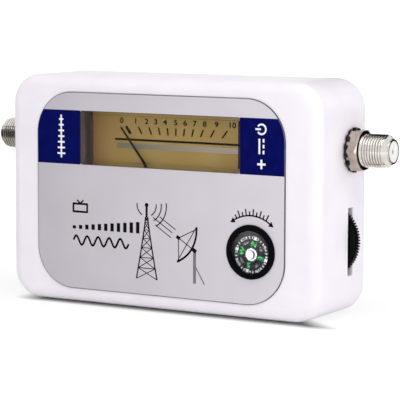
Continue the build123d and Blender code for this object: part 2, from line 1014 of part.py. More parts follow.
def pivot_jewel():
    """Rear bearing screw in the floor of the drum."""
    rear_y = drum_rear_y + jewel_proud
    jewel = rod_y(jewel_radius, rear_y - jewel_length, rear_y)
    jewel -= rod_y(
        rear_shaft_radius + running_clearance,
        rear_y - jewel_length - overrun,
        rear_y - jewel_length + jewel_depth,
    )
    slot_half = cross_slot_width / 2
    jewel -= block(
        -jewel_radius - overrun,
        jewel_radius + overrun,
        rear_y - jewel_proud,
        rear_y + overrun,
        -slot_half,
        slot_half,
    )
    return at_pivot(jewel)


def meter_terminals():
    """Two solder tags through the lower side of the drum."""
    tag = block(
        -terminal_width / 2,
        terminal_width / 2,
        terminal_y - terminal_thickness / 2,
        terminal_y + terminal_thickness / 2,
        terminal_bottom_z,
        terminal_top_z,
    )
    return group(placed(tag, terminal_places))


def meter_lead(x):
    """Insulated wire from the end of a tag down and back to the board."""
    path = FilletPolyline(
        (x, terminal_y, terminal_bottom_z),
        (x, terminal_y, terminal_bottom_z - lead_drop),
        (x, board_front_y, terminal_bottom_z - lead_drop),
        radius=lead_bend_radius,
    )
    start = Plane(origin=(x, terminal_y, terminal_bottom_z), z_dir=(0, 0, -1))
    return sweep(start * Circle(lead_radius), path=path)


def backlight_leds():
    """Two small lamps in the tray floor, on long legs from the board."""
    front = floor_front_y + seat_clearance
    lamp = rod_y(led_radius, front, front + led_length)
    lamp += rod_y(led_flange_radius, front + led_length - led_flange_height, front + led_length)
    for sign in (-1, 1):
        lamp += rod_y(led_leg_radius, front + led_length, board_front_y, sign * led_leg_pitch)
    return group(placed(lamp, led_places))


# Compass
def at_compass(shape):
    """Move a piece of the compass to its place in the face."""
    return Pos(compass_centre_x, 0, compass_centre_z) * shape


def at_card(shape):
    """Move a piece of the card to where the upright card hangs on its pin."""
    return at_compass(Pos(-card_side_shift, 0, -card_drop) * shape)


bezel_front_y = label_front_y - bezel_proud
capsule_rear_y = label_front_y + capsule_depth
lens_front_y = bezel_front_y + lens_set_back
lens_rear_y = lens_front_y + lens_thickness
card_front_y = lens_rear_y + card_depth
card_rear_y = card_front_y + card_thickness
hub_top_y = card_front_y - card_hub_height
cup_end_y = card_front_y


def compass_housing():
    """Black capsule whose bezel sits on the label."""
    bezel = rod_y(bezel_radius, bezel_front_y, label_front_y)
    bezel = fillet(bezel.faces().sort_by(Axis.Y)[0].edges(), bezel_edge_radius)
    body = bezel + rod_y(capsule_radius, label_front_y, capsule_rear_y)
    body -= rod_y(bezel_opening_radius, bezel_front_y - overrun, lens_front_y + overrun)
    body -= rod_y(lens_radius + running_clearance, lens_front_y, lens_rear_y + overrun)
    body -= rod_y(capsule_cavity_radius, lens_rear_y, capsule_rear_y - capsule_floor)
    return at_compass(body)


def compass_lens():
    """Clear disc behind the lip of the bezel, with a slightly domed front."""
    dome_radius = bezel_opening_radius - running_clearance
    ball_radius = (dome_radius**2 + lens_dome**2) / (2 * lens_dome)
    dome = rod_y(dome_radius, lens_front_y - lens_dome, lens_front_y)
    dome &= Pos(0, lens_front_y - lens_dome + ball_radius, 0) * Sphere(ball_radius)
    return at_compass(rod_y(lens_radius, lens_front_y, lens_rear_y) + dome)


def compass_pin():
    """Needle point that the card turns on, standing on the capsule floor."""
    floor_y = capsule_rear_y - capsule_floor
    pin = rod_y(compass_pin_radius, cup_end_y + compass_pin_gap, floor_y)
    pin += rod_y(compass_pin_foot_radius, floor_y - compass_pin_foot_height, floor_y)
    return at_compass(pin)


def compass_card():
    """Round printed card."""
    return at_card(tube_y(card_radius, card_hub_radius, card_front_y, card_rear_y))


def compass_hub():
    """White hub in the card, hollow below for the pin, with a knob in front of its flange."""
    hub = rod_y(card_hub_radius, card_front_y - hub_flange_thickness, card_rear_y + card_hub_rear)
    hub += rod_y(hub_neck_radius, hub_top_y, card_front_y)
    hub += rod_y(hub_cap_radius, hub_top_y, hub_top_y + hub_cap_thickness)
    hub -= rod_y(card_cup_radius, cup_end_y, card_rear_y + card_hub_rear + overrun)
    return at_card(hub)


def compass_magnets():
    """Two bar magnets under the card."""
    bars = []
    for sign in (-1, 1):
        middle_x = sign * card_magnet_arm
        bar = block(
            middle_x - card_magnet_width / 2,
            middle_x + card_magnet_width / 2,
            card_rear_y,
            card_rear_y + card_magnet_thickness,
            -card_magnet_length / 2,
            card_magnet_length / 2,
        )
        bars.append(at_card(bar))
    return group(bars)


# Coaxial ports, drawn with their axis along +X from the outer face of the side wall
def at_port(shape, side):
    """Place a port piece on the right wall, or its mirror image on the left wall."""
    right = Pos(side_x, port_y, port_z) * shape
    if side > 0:
        return right
    return mirror(right, about=Plane.YZ)


def turned_x(points):
    """Solid of revolution round the X axis from points of station and radius."""
    outline = make_face(Polyline(*points, close=True))
    return revolve(outline, axis=Axis.X)


def ring_x(outer, inner, x_from, x_to):
    """Round tube along X."""
    return turned_x([(x_from, inner), (x_to, inner), (x_to, outer), (x_from, outer)])


nut_front = washer_thickness + nut_thickness
thread_start = nut_front + thread_start_gap


def port_barrel(reach, side):
    """Threaded barrel with its inner flange, and ground tabs on the board."""
    thread_end = reach - tip_length
    root = thread_radius - thread_depth
    flank = (thread_pitch - thread_crest) / 4
    points = [
        (barrel_inner_x, barrel_bore_radius),
        (barrel_inner_x, barrel_tail_radius),
        (barrel_flange_x, barrel_tail_radius),
        (barrel_flange_x, barrel_flange_radius),
        (-case_wall, barrel_flange_radius),
        (-case_wall, plain_barrel_radius),
        (thread_start, plain_barrel_radius),
    ]
    turns = int((thread_end - thread_start) / thread_pitch)
    start = thread_end - turns * thread_pitch
    for turn in range(turns):
        ridge = start + turn * thread_pitch
        points += [
            (ridge, root),
            (ridge + flank, thread_radius),
            (ridge + flank + thread_crest, thread_radius),
            (ridge + 2 * flank + thread_crest, root),
        ]
    collar_end = thread_end + collar_length
    points += [
        (thread_end, root),
        (thread_end + flank, collar_radius),
        (collar_end, collar_radius),
        (collar_end + lip_cone_length, lip_cone_radius),
        (collar_end + lip_cone_length, lip_radius),
        (reach, lip_radius),
        (reach, barrel_bore_radius),
    ]
    barrel = turned_x(points)
    tab_rear = board_front_y - port_y
    for sign in (-1, 1):
        middle = sign * ground_tab_spread
        barrel += block(
            barrel_inner_x - ground_tab_length,
            barrel_flange_x + barrel_flange_thickness / 2,
            tab_rear - ground_tab_thickness,
            tab_rear,
            middle - ground_tab_width / 2,
            middle + ground_tab_width / 2,
        )
    barrel -= ring_x(barrel_bore_radius, 0, barrel_inner_x - overrun, reach + overrun)
    return at_port(barrel, side)


def port_nut(side):
    """Chamfered hexagon nut."""
    corner_radius = nut_across_flats / math.sqrt(3)
    flat_radius = nut_across_flats / 2
    plane = Plane(origin=(washer_thickness, 0, 0), x_dir=(0, 0, 1), z_dir=(1, 0, 0))
    outline = Rot(0, 0, nut_turn) * RegularPolygon(corner_radius, 6)
    nut = extrude(plane * outline, amount=nut_thickness)
    nut &= turned_x([
        (washer_thickness, 0),
        (washer_thickness, flat_radius),
        (washer_thickness + nut_chamfer_height, corner_radius),
        (nut_front - nut_chamfer_height, corner_radius),
        (nut_front, flat_radius),
        (nut_front, 0),
    ])
    nut -= ring_x(plain_barrel_radius + screw_clearance, 0, -overrun, nut_front + overrun)
    return at_port(nut, side)


def port_washer(side):
    """Dished lock washer under the nut, whose teeth stand off the wall."""
    bore = plain_barrel_radius + screw_clearance
    seat_radius = nut_across_flats / 2
    washer = turned_x([
        (0, bore),
        (0, seat_radius),
        (washer_dish, washer_radius),
        (washer_dish + washer_thickness, washer_radius),
        (washer_thickness, seat_radius),
        (washer_thickness, bore),
    ])
    notch = block(
        -overrun,
        washer_dish + washer_thickness + overrun,
        washer_radius - washer_notch_depth,
        washer_radius + overrun,
        -washer_notch_width / 2,
        washer_notch_width / 2,
    )
    for tooth in range(washer_teeth):
        washer -= Rot(360 * tooth / washer_teeth, 0, 0) * notch
    return at_port(washer, side)


def port_insulator(reach, side):
    """White insulating core with the mouth for the centre wire."""
    front = reach - insulator_recess
    hole_radius = contact_radius + running_clearance
    mouth_start = front - insulator_mouth_length
    outer = barrel_bore_radius - running_clearance
    core = turned_x([
        (barrel_inner_x, hole_radius),
        (mouth_start, hole_radius),
        (mouth_start, insulator_mouth_radius),
        (front - insulator_mouth_length / 2, insulator_mouth_radius),
        (front, hole_radius),
        (front, outer),
        (barrel_inner_x, outer),
    ])
    return at_port(core, side)


def port_contact(reach, side):
    """Centre contact: a sprung socket in front and a tail bent to the board behind."""
    socket_front = reach - insulator_recess - insulator_mouth_length
    socket = ring_x(
        contact_radius, contact_bore_radius, socket_front - contact_bore_depth, socket_front
    )
    socket += ring_x(contact_radius, 0, barrel_inner_x, socket_front - contact_bore_depth)
    tail_end = barrel_inner_x - contact_tail_reach
    path = FilletPolyline(
        (barrel_inner_x, 0, 0),
        (tail_end, 0, 0),
        (tail_end, board_front_y - port_y, 0),
        radius=contact_tail_bend,
    )
    section = Plane(origin=(barrel_inner_x, 0, 0), z_dir=(-1, 0, 0)) * Circle(contact_tail_radius)
    return at_port(socket + sweep(section, path=path), side)


# Gain control
def at_wheel(shape):
    """Move a piece of the gain control to the axis of the wheel."""
    return Pos(wheel_centre_x, 0, wheel_centre_z) * shape


pot_front_y = wheel_rear_y + pot_wheel_gap


def gain_wheel():
    """Thumb wheel with a toothed rim and a thin web."""
    pitch = 2 * math.pi / wheel_teeth
    points = []
    for tooth in range(wheel_teeth):
        for part_share, radius in (
            (0, wheel_radius - tooth_depth),
            (tooth_rise_share, wheel_radius),
            (tooth_fall_share, wheel_radius),
        ):
            angle = (tooth + part_share) * pitch
            points.append((radius * math.cos(angle), radius * math.sin(angle)))
    rim = slab(Polygon(*points, align=None), wheel_front_y, wheel_rear_y)
    pocket_radius = wheel_radius - wheel_rim
    pocket_depth = (wheel_width - wheel_web) / 2
    pocket = tube_y(pocket_radius, wheel_hub_radius, wheel_front_y, wheel_front_y + pocket_depth)
    rim -= Pos(0, -overrun, 0) * tube_y(
        pocket_radius, wheel_hub_radius, wheel_front_y, wheel_front_y + pocket_depth + overrun
    )
    rim -= Pos(0, wheel_width - pocket_depth, 0) * pocket
    rim -= rod_y(pot_shaft_radius, wheel_rear_y - pot_shaft_seat, wheel_rear_y + overrun)
    rim -= rod_y(
        wheel_screw_radius + screw_clearance, wheel_front_y - overrun, wheel_rear_y + overrun
    )
    return at_wheel(rim)


def wheel_screw():
    """Screw that clamps the wheel on the shaft."""
    screw = screw_from_front(
        wheel_screw_radius,
        wheel_width - pot_shaft_seat + wheel_screw_bite,
        wheel_screw_head_radius,
        wheel_screw_head_height,
        wheel_front_y,
    )
    return at_wheel(screw)


def potentiometer_shaft():
    """Shaft from the wheel into the body."""
    shaft = rod_y(pot_shaft_radius, wheel_rear_y - pot_shaft_seat, board_front_y - pot_wheel_gap)
    shaft -= rod_y(
        wheel_screw_radius + screw_clearance,
        wheel_rear_y - pot_shaft_seat - overrun,
        wheel_rear_y - pot_shaft_seat + wheel_screw_bite + seat_clearance,
    )
    return at_wheel(shaft)


def potentiometer_body():
    """Round body on the board, open for its shaft."""
    body = rod_y(pot_radius, pot_front_y, board_front_y)
    body += rod_y(pot_bushing_radius, pot_front_y - pot_bushing_height, pot_front_y)
    body -= rod_y(
        pot_shaft_radius + running_clearance,
        pot_front_y - overrun,
        board_front_y - pot_wheel_gap + seat_clearance,
    )
    return at_wheel(body)


def potentiometer_tags():
    """Three tags soldered on the board beside the body."""
    tags = []
    for step in (-1, 0, 1):
        middle_z = step * pot_tag_pitch
        nearest_z = max(0, abs(middle_z) - pot_tag_width / 2)
        edge_x = -math.sqrt(pot_radius**2 - nearest_z**2)
        tags.append(at_wheel(block(
            edge_x - pot_tag_reach,
            edge_x - running_clearance,
            board_front_y - pot_tag_thickness,
            board_front_y,
            middle_z - pot_tag_width / 2,
            middle_z + pot_tag_width / 2,
        )))
    return group(tags)


# Circuit board and the parts on it
def circuit_board():
    """Board on four bosses, with a tab for the gain control and a hole behind the bearing."""
    middle_z = (board_bottom_z + board_top_z) / 2
    outline = Pos(0, middle_z) * RectangleRounded(
        2 * board_half_width, board_top_z - board_bottom_z, board_corner_radius
    )
    tab_middle_z = wheel_centre_z + (board_tab_above - board_tab_below) / 2
    outline += Pos(board_half_width, tab_middle_z) * Rectangle(
        2 * board_tab_reach, board_tab_above + board_tab_below
    )
    outline -= Pos(meter_centre_x, pivot_z) * Circle(jewel_radius + bearing_access_gap)
    board = slab(outline, board_front_y, board_rear_y)
    hole = rod_y(
        board_screw_radius + board_hole_clearance, board_front_y - overrun, board_rear_y + overrun
    )
    return board - placed(hole, board_boss_places)


def board_screws():
    """Four screws that hold the board on its bosses."""
    screw = screw_into_face(
        board_screw_radius,
        board_screw_length,
        board_screw_head_radius,
        board_screw_head_height,
        board_rear_y,
    )
    return group(placed(screw, board_boss_places))


def shield_can():
    """Tinned cover over the amplifier stage, open towards the board."""
    top_y = board_front_y - shield_depth
    half_width = shield_width / 2
    half_height = shield_height / 2
    can = block(-half_width, half_width, top_y, board_front_y, -half_height, half_height)
    can -= block(
        -half_width + shield_wall,
        half_width - shield_wall,
        top_y + shield_wall,
        board_front_y + overrun,
        -half_height + shield_wall,
        half_height - shield_wall,
    )
    centre_x = shield_side_gap + half_width - board_half_width
    centre_z = board_top_z - shield_top_gap - half_height
    return Pos(centre_x, 0, centre_z) * can


def signal_chips():
    """Two flat chips with a row of pins on each side."""
    top_y = board_front_y - chip_depth
    half_width = chip_width / 2
    half_height = chip_height / 2
    chip = block(-half_width, half_width, top_y, board_front_y, -half_height, half_height)
    pin_reach = half_height + chip_pin_reach
    for pin in range(chip_pin_count):
        middle_x = (pin - (chip_pin_count - 1) / 2) * chip_pin_pitch
        chip += block(
            middle_x - chip_pin_width / 2,
            middle_x + chip_pin_width / 2,
            board_front_y - chip_pin_width,
            board_front_y,
            -pin_reach,
            pin_reach,
        )
    return group(placed(chip, on_board(chip_shares)))


def electrolytic_capacitors():
    """Round cans on square feet."""
    foot_top_y = board_front_y - can_base_height
    foot = block(-can_radius, can_radius, foot_top_y, board_front_y, -can_radius, can_radius)
    can = foot + rod_y(can_radius, board_front_y - can_height, foot_top_y)
    return group(placed(can, on_board(can_shares)))


def chokes():
    """Drum chokes with a wound waist."""
    top_y = board_front_y - choke_height
    choke = rod_y(choke_radius, top_y, top_y + choke_flange)
    choke += rod_y(choke_waist_radius, top_y, board_front_y)
    choke += rod_y(choke_radius, board_front_y - choke_flange, board_front_y)
    return group(placed(choke, on_board(choke_shares)))


def diodes():
    """Small round diodes lying on the board."""
    middle_y = board_front_y - diode_radius
    half = diode_length / 2
    body = Pos(0, middle_y, 0) * Rot(0, 90, 0) * Cylinder(diode_radius, diode_length, align=CENTRED)
    leg_half = half + diode_leg_reach
    leg = Pos(0, middle_y, 0) * Rot(0, 90, 0) * Cylinder(
        diode_leg_radius, 2 * leg_half, align=CENTRED
    )
    body += leg
    for sign in (-1, 1):
        body += rod_y(diode_leg_radius, middle_y, board_front_y, sign * (leg_half - diode_leg_radius))
    return group(placed(body, on_board(diode_shares)))


def chip_parts():
    """Rows of small resistors and capacitors."""
    part = block(
        -chip_part_width / 2,
        chip_part_width / 2,
        board_front_y - chip_part_depth,
        board_front_y,
        -chip_part_length / 2,
        chip_part_length / 2,
    )
    places = []
    for (row_x, row_z), count in zip(on_board(chip_part_row_shares), chip_part_counts):
        for step in range(count):
            places.append((row_x + step * chip_part_pitch, row_z))
    return group(placed(part, places))


def voltage_regulator():
    """Flat regulator with its tab and three pins."""
    top_y = board_front_y - regulator_depth
    body = block(
        -regulator_width / 2,
        regulator_width / 2,
        top_y,
        board_front_y,
        -regulator_height / 2,
        regulator_height / 2,
    )
    tab_half = regulator_width / 4
    body += block(
        -tab_half,
        tab_half,
        board_front_y - chip_pin_width,
        board_front_y,
        0,
        regulator_height / 2 + regulator_tab_reach,
    )
    for step in (-1, 0, 1):
        middle_x = step * regulator_width / 3
        body += block(
            middle_x - chip_pin_width,
            middle_x + chip_pin_width,
            board_front_y - chip_pin_width,
            board_front_y,
            -regulator_height / 2 - regulator_pin_reach,
            0,
        )
    tag_end_x = wheel_centre_x - pot_radius - pot_tag_reach
    centre_x = tag_end_x - regulator_tag_gap - regulator_width / 2
    return Pos(centre_x, 0, wheel_centre_z) * body


# Nodes
nodes = {
    "front_case": front_case(),
    "rear_cover": rear_cover(),
    "case_screws": case_screws(),
    "face_label": face_label(),
    "meter_cover": meter_cover(),
    "meter_base": meter_base(),
    "meter_screws": meter_screws(),
    "scale_plate": scale_plate(),
    "needle": needle(),
    "needle_hub": needle_hub(),
    "counterweight": counterweight(),
    "pointer_shafts": pointer_shafts(),
    "coil_frame": coil_frame(),
    "coil_winding": coil_winding(),
    "hairspring": hairspring(),
    "front_bridge": front_bridge(),
    "bridge_screws": bridge_screws(),
    "meter_yoke": meter_yoke(),
    "core_magnet": core_magnet(),
    "core_spacers": core_spacers(),
    "pivot_jewel": pivot_jewel(),
    "meter_terminals": meter_terminals(),
    "negative_lead": meter_lead(meter_centre_x - terminal_arm),
    "positive_lead": meter_lead(meter_centre_x + terminal_arm),
    "backlight_leds": backlight_leds(),
    "compass_housing": compass_housing(),
    "compass_lens": compass_lens(),
    "compass_pin": compass_pin(),
    "compass_card": compass_card(),
    "compass_hub": compass_hub(),
    "compass_magnets": compass_magnets(),
    "gain_wheel": gain_wheel(),
    "wheel_screw": wheel_screw(),
    "potentiometer_shaft": potentiometer_shaft(),
    "potentiometer_body": potentiometer_body(),
    "potentiometer_tags": potentiometer_tags(),
    "circuit_board": circuit_board(),
    "board_screws": board_screws(),
    "shield_can": shield_can(),
    "signal_chips": signal_chips(),
    "electrolytic_capacitors": electrolytic_capacitors(),
    "chokes": chokes(),
    "diodes": diodes(),
    "chip_parts": chip_parts(),
    "voltage_regulator": voltage_regulator(),
}
for port_name, reach, side in (
    ("antenna_port", antenna_port_reach, -1),
    ("receiver_port", receiver_port_reach, 1),
):
    nodes[port_name + "_barrel"] = port_barrel(reach, side)
    nodes[port_name + "_nut"] = port_nut(side)
    nodes[port_name + "_washer"] = port_washer(side)
    nodes[port_name + "_insulator"] = port_insulator(reach, side)
    nodes[port_name + "_contact"] = port_contact(reach, side)

spring_gap = (spring_outer_radius - spring_inner_radius) / spring_turns - spring_thickness
print("hairspring least gap to itself", round(spring_gap, 3))

os.makedirs("parts", exist_ok=True)
for name, shape in nodes.items():
    export_step(shape, "parts/" + name + ".step")
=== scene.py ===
import math

import bmesh
import bpy
from mathutils import Matrix, Vector
from mathutils.geometry import delaunay_2d_cdt


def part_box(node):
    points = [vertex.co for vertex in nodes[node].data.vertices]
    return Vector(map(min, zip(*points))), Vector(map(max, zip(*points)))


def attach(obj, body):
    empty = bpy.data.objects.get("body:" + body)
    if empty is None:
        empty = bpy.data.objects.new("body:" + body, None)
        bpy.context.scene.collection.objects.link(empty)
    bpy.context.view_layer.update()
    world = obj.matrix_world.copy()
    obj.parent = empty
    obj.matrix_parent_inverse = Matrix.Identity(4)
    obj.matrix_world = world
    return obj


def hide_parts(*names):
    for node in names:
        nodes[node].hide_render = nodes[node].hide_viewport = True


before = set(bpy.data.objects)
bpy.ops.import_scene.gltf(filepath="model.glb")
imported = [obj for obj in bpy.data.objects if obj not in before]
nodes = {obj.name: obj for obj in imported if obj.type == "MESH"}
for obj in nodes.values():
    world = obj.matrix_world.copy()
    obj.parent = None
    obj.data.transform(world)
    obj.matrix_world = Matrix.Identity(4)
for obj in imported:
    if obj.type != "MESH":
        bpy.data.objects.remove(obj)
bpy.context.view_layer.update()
MM = 0.001

# Front and rear shells of the case: injection-moulded white ABS with a fine satin grain.
# The rear shell closes the front one at the back, where a small bevel on both leaves a groove.


def paint(red, green, blue):
    """Linear colour of a swatch given as it looks on a screen, 0 to 255."""
    levels = []
    for level in (red, green, blue):
        share = level / 255
        levels.append(share / 12.92 if share <= 0.04045 else ((share + 0.055) / 1.055) ** 2.4)
    return (*levels, 1.0)


def new_finish(name):
    """Empty material, with its node tree and its main shader."""
    finish = bpy.data.materials.new(name)
    finish.use_nodes = True
    tree = finish.node_tree
    return finish, tree, tree.nodes["Principled BSDF"]


def add_node(tree, kind, **settings):
    """New node whose inputs are set by their names, with spaces written as underscores."""
    node = tree.nodes.new("ShaderNode" + kind)
    for name, value in settings.items():
        node.inputs[name.replace("_", " ")].default_value = value
    return node


def grain(tree, size, stretch=(1, 1, 1), detail=2.0):
    """Soft noise with lumps of about size millimetres, stretched along the object's axes."""
    place = add_node(tree, "TexCoord")
    fitted = add_node(tree, "Mapping", Scale=[1 / (MM * size * share) for share in stretch])
    noise = add_node(tree, "TexNoise", Scale=1.0, Detail=detail)
    tree.links.new(place.outputs["Object"], fitted.inputs["Vector"])
    tree.links.new(fitted.outputs["Vector"], noise.inputs["Vector"])
    return noise.outputs["Fac"]


def graded(tree, factor, low, high, start=0.3, end=0.7):
    """Number that goes from low to high as the factor goes from start to end."""
    ramp = add_node(tree, "MapRange", From_Min=start, From_Max=end, To_Min=low, To_Max=high)
    tree.links.new(factor, ramp.inputs["Value"])
    return ramp.outputs["Result"]


def blended(tree, factor, first, second):
    """Colour between two colours or colour sockets."""
    mix = tree.nodes.new("ShaderNodeMix")
    mix.data_type = "RGBA"
    tree.links.new(factor, mix.inputs["Factor"])
    for socket, colour in ((mix.inputs[6], first), (mix.inputs[7], second)):
        if isinstance(colour, tuple):
            socket.default_value = colour
        else:
            tree.links.new(colour, socket)
    return mix.outputs[2]


def relief(tree, shader, height, depth):
    """Bump of the given depth in millimetres."""
    bump = add_node(tree, "Bump", Strength=1.0, Distance=depth * MM)
    tree.links.new(height, bump.inputs["Height"])
    tree.links.new(bump.outputs["Normal"], shader.inputs["Normal"])


def mottled(name, dark, light, rough, patch, pore, depth, metal=0.0, gloss=0.5):
    """Finish that varies between two colours over patches, with pores in its shine and relief."""
    finish, tree, shader = new_finish(name)
    patches = graded(tree, grain(tree, patch), 0.0, 1.0)
    pores = grain(tree, pore)
    tree.links.new(blended(tree, patches, dark, light), shader.inputs["Base Color"])
    tree.links.new(graded(tree, pores, *rough), shader.inputs["Roughness"])
    shader.inputs["Metallic"].default_value = metal
    shader.inputs["Specular IOR Level"].default_value = gloss
    relief(tree, shader, pores, depth)
    return finish, tree, shader


def dress(finish, *names):
    """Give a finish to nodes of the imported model."""
    for name in names:
        nodes[name].material_slots[0].material = finish


white_shell, _, _ = mottled(
    "white_shell", paint(236, 230, 238), paint(240, 235, 242), rough=(0.36, 0.46), patch=9.0,
    pore=0.35, depth=0.004, gloss=0.35,
)
dress(white_shell, "front_case", "rear_cover")

# Four self-tapping screws, zinc-plated steel, that close the case from behind.
# The other small screws, the shafts and the compass pin have the same plating.
zinc, _, _ = mottled(
    "zinc_screw", paint(165, 166, 170), paint(196, 197, 200), rough=(0.26, 0.4), patch=1.2,
    pore=0.12, depth=0.003, metal=1.0,
)
dress(zinc, "case_screws", "meter_screws", "pointer_shafts", "bridge_screws")
dress(zinc, "compass_pin", "wheel_screw", "board_screws")

# Face plate: silver-grey polycarbonate sheet, printed, die-cut with round corners and bonded
# in the shallow recess of the face. Its silver is darker towards the left end, a painted shade.
# Its cut edge is dark grey: partly its own colour, partly painted shade of the gap round it.
label_low, label_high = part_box("face_label")
label_front = label_low.y / MM
label_left = label_low.x / MM
label_right = label_high.x / MM
label_bottom = label_low.z / MM
label_top = label_high.z / MM
label_corner = 12.0


def across(tree, left, right, first, second):
    """Colour that goes from the first to the second between two places along the X axis."""
    place = add_node(tree, "SeparateXYZ")
    tree.links.new(add_node(tree, "TexCoord").outputs["Object"], place.inputs[0])
    return blended(tree, graded(tree, place.outputs["X"], 0.0, 1.0, left, right), first, second)


plate_finish, plate_tree, plate_shader = new_finish("label_plate")
plate_patches = graded(plate_tree, grain(plate_tree, size=14.0), 0.0, 1.0)
plate_flakes = grain(plate_tree, size=0.18, detail=3.0)
# Silver of the plate, painted darker at the left end and lighter at the right: painted shade.
plate_silver_and_shade = across(
    plate_tree, label_low.x, label_high.x,
    blended(plate_tree, plate_patches, paint(186, 181, 188), paint(191, 186, 193)),
    blended(plate_tree, plate_patches, paint(208, 203, 211), paint(212, 207, 215)),
)
# Cut edge, where the normal turns away from the front: dark grey, partly painted shade of the gap round
# the plate.
plate_facing = add_node(plate_tree, "SeparateXYZ")
plate_tree.links.new(add_node(plate_tree, "TexCoord").outputs["Normal"], plate_facing.inputs[0])
facing_front = -0.9
facing_side = -0.3
plate_edge_shade = graded(
    plate_tree, plate_facing.outputs["Y"], 1.0, 0.0, start=facing_front, end=facing_side
)
plate_tree.links.new(
    blended(plate_tree, plate_edge_shade, paint(92, 88, 94), plate_silver_and_shade),
    plate_shader.inputs["Base Color"],
)
plate_tree.links.new(
    graded(plate_tree, plate_flakes, low=0.38, high=0.5), plate_shader.inputs["Roughness"]
)
plate_shader.inputs["Metallic"].default_value = 0.25
plate_shader.inputs["Specular IOR Level"].default_value = 0.2
relief(plate_tree, plate_shader, plate_flakes, depth=0.002)
dress(plate_finish, "face_label")

# Ink on the face plate: flat layers of screen print. Blue blocks hold the window between them,
# and plain pictograms take the places beside the window, at the left and round the compass.
ink_height = 0.02


def wound(outline):
    """Outline of points, turned to run anticlockwise."""
    twice_area = 0
    for (x1, z1), (x2, z2) in zip(outline, outline[1:] + outline[:1]):
        twice_area += x1 * z2 - x2 * z1
    return outline if twice_area > 0 else outline[::-1]


def arc(x, z, radius, start, end, steps=16):
    """Points along an arc, with angles in degrees from the right."""
    turns = [math.radians(start + (end - start) * step / steps) for step in range(steps + 1)]
    return [(x + radius * math.cos(turn), z + radius * math.sin(turn)) for turn in turns]


def spot(x, z, radius, angle):
    """Point at an angle, in degrees from the right, on a circle."""
    return arc(x, z, radius, angle, angle, 1)[0]


def disc(x, z, radius):
    """Outline of a round spot."""
    return arc(x, z, radius, 0, 360, steps=20)[:-1]


def rounded(left, right, bottom, top, corner, inset, steps=16):
    """Points along a rectangle with round corners, at an inset from its edge."""
    points = []
    for x, z, start in (
        (right - corner, top - corner, 0),
        (left + corner, top - corner, 90),
        (left + corner, bottom + corner, 180),
        (right - corner, bottom + corner, 270),
    ):
        points += arc(x, z, corner - inset, start, start + 90, steps)
    return points


def bar(x, z, width, height):
    """Outline of an upright rectangle about a centre."""
    aside = width / 2
    up = height / 2
    return [(x - aside, z - up), (x + aside, z - up), (x + aside, z + up), (x - aside, z + up)]


def line(points, width):
    """Outlines that make a drawn line of even width, with round joints."""
    outlines = [disc(x, z, width / 2) for x, z in points[1:-1]]
    for (x1, z1), (x2, z2) in zip(points, points[1:]):
        length = math.hypot(x2 - x1, z2 - z1)
        aside_x = (z1 - z2) / length * width / 2
        aside_z = (x2 - x1) / length * width / 2
        outlines.append([
            (x1 + aside_x, z1 + aside_z),
            (x1 - aside_x, z1 - aside_z),
            (x2 - aside_x, z2 - aside_z),
            (x2 + aside_x, z2 + aside_z),
        ])
    return outlines


def printed(name, outlines, ground_y, height, finish, body):
    """Closed flat layer of ink that joins overlapping outlines, standing on a face at ground_y."""
    sunk = height / 4
    points = []
    faces = []
    for outline in outlines:
        faces.append([len(points) + step for step in range(len(outline))])
        points += [Vector(point) for point in wound(outline)]
    inside_only = 1
    closeness = 1e-5
    flat, _, triangles, _, _, owners = delaunay_2d_cdt(points, [], faces, inside_only, closeness)
    mesh = bpy.data.meshes.new(name)
    layer = bmesh.new()
    front = [layer.verts.new((x * MM, (ground_y - height) * MM, z * MM)) for x, z in flat]
    rear = [layer.verts.new((x * MM, (ground_y + sunk) * MM, z * MM)) for x, z in flat]
    edges = set()
    for triangle, owner in zip(triangles, owners):
        if not owner:
            continue
        corners = list(triangle)
        layer.faces.new([front[corner] for corner in corners])
        layer.faces.new([rear[corner] for corner in reversed(corners)])
        edges.update(zip(corners, corners[1:] + corners[:1]))
    for a, b in edges:
        if (b, a) not in edges:
            layer.faces.new((front[b], front[a], rear[a], rear[b]))
    unused = [corner for corner in layer.verts if not corner.link_faces]
    bmesh.ops.delete(layer, geom=unused, context="VERTS")
    layer.to_mesh(mesh)
    layer.free()
    piece = bpy.data.objects.new(name, mesh)
    bpy.context.scene.collection.objects.link(piece)
    mesh.materials.append(finish)
    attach(piece, body)


def ink(name, dark, light, rough=(0.42, 0.55)):
    """Finish of a printed layer, with the faint unevenness of its screen."""
    return mottled(name, dark, light, rough, patch=3.0, pore=0.12, depth=0.001, gloss=0.03)[0]


black_ink = ink("black_ink", paint(10, 8, 12), paint(18, 16, 20))
blue_ink = ink("blue_ink", paint(1, 6, 76), paint(4, 12, 88), rough=(0.3, 0.42))
white_ink = ink("white_ink", paint(232, 232, 240), paint(244, 244, 250))
grey_ink = ink("grey_ink", paint(112, 108, 116), paint(126, 122, 130))

window_left = -26.0
window_right = 26.9
window_bottom = 40.4
window_top = 56.0
corner_z = label_top - label_corner
block_corner = math.degrees(math.asin((window_top - corner_z) / label_corner))
left_block = [(window_left, window_bottom), (window_left, window_top)]
left_block += arc(label_left + label_corner, corner_z, label_corner, 180 - block_corner, 180)
left_block += [(label_left, window_bottom)]
right_block = [(window_right, window_bottom), (label_right, window_bottom)]
right_block += arc(label_right - label_corner, corner_z, label_corner, 0, block_corner)
right_block += [(window_right, window_top)]
printed(
    "label_blocks", [left_block, right_block], label_front, ink_height, blue_ink, "case",
)

# Thin grey line round the rim of the plate: painted shade of the narrow gap between the plate and its
# recess.
rim_shade_width = 0.16
rim_shade_height = 1.4 * ink_height
rim_shade = rounded(
    label_left, label_right, label_bottom, label_top, label_corner, inset=rim_shade_width / 2
)
printed(
    "label_rim_shade", line(rim_shade + rim_shade[:2], rim_shade_width), label_front, rim_shade_height,
    grey_ink, "case",
)

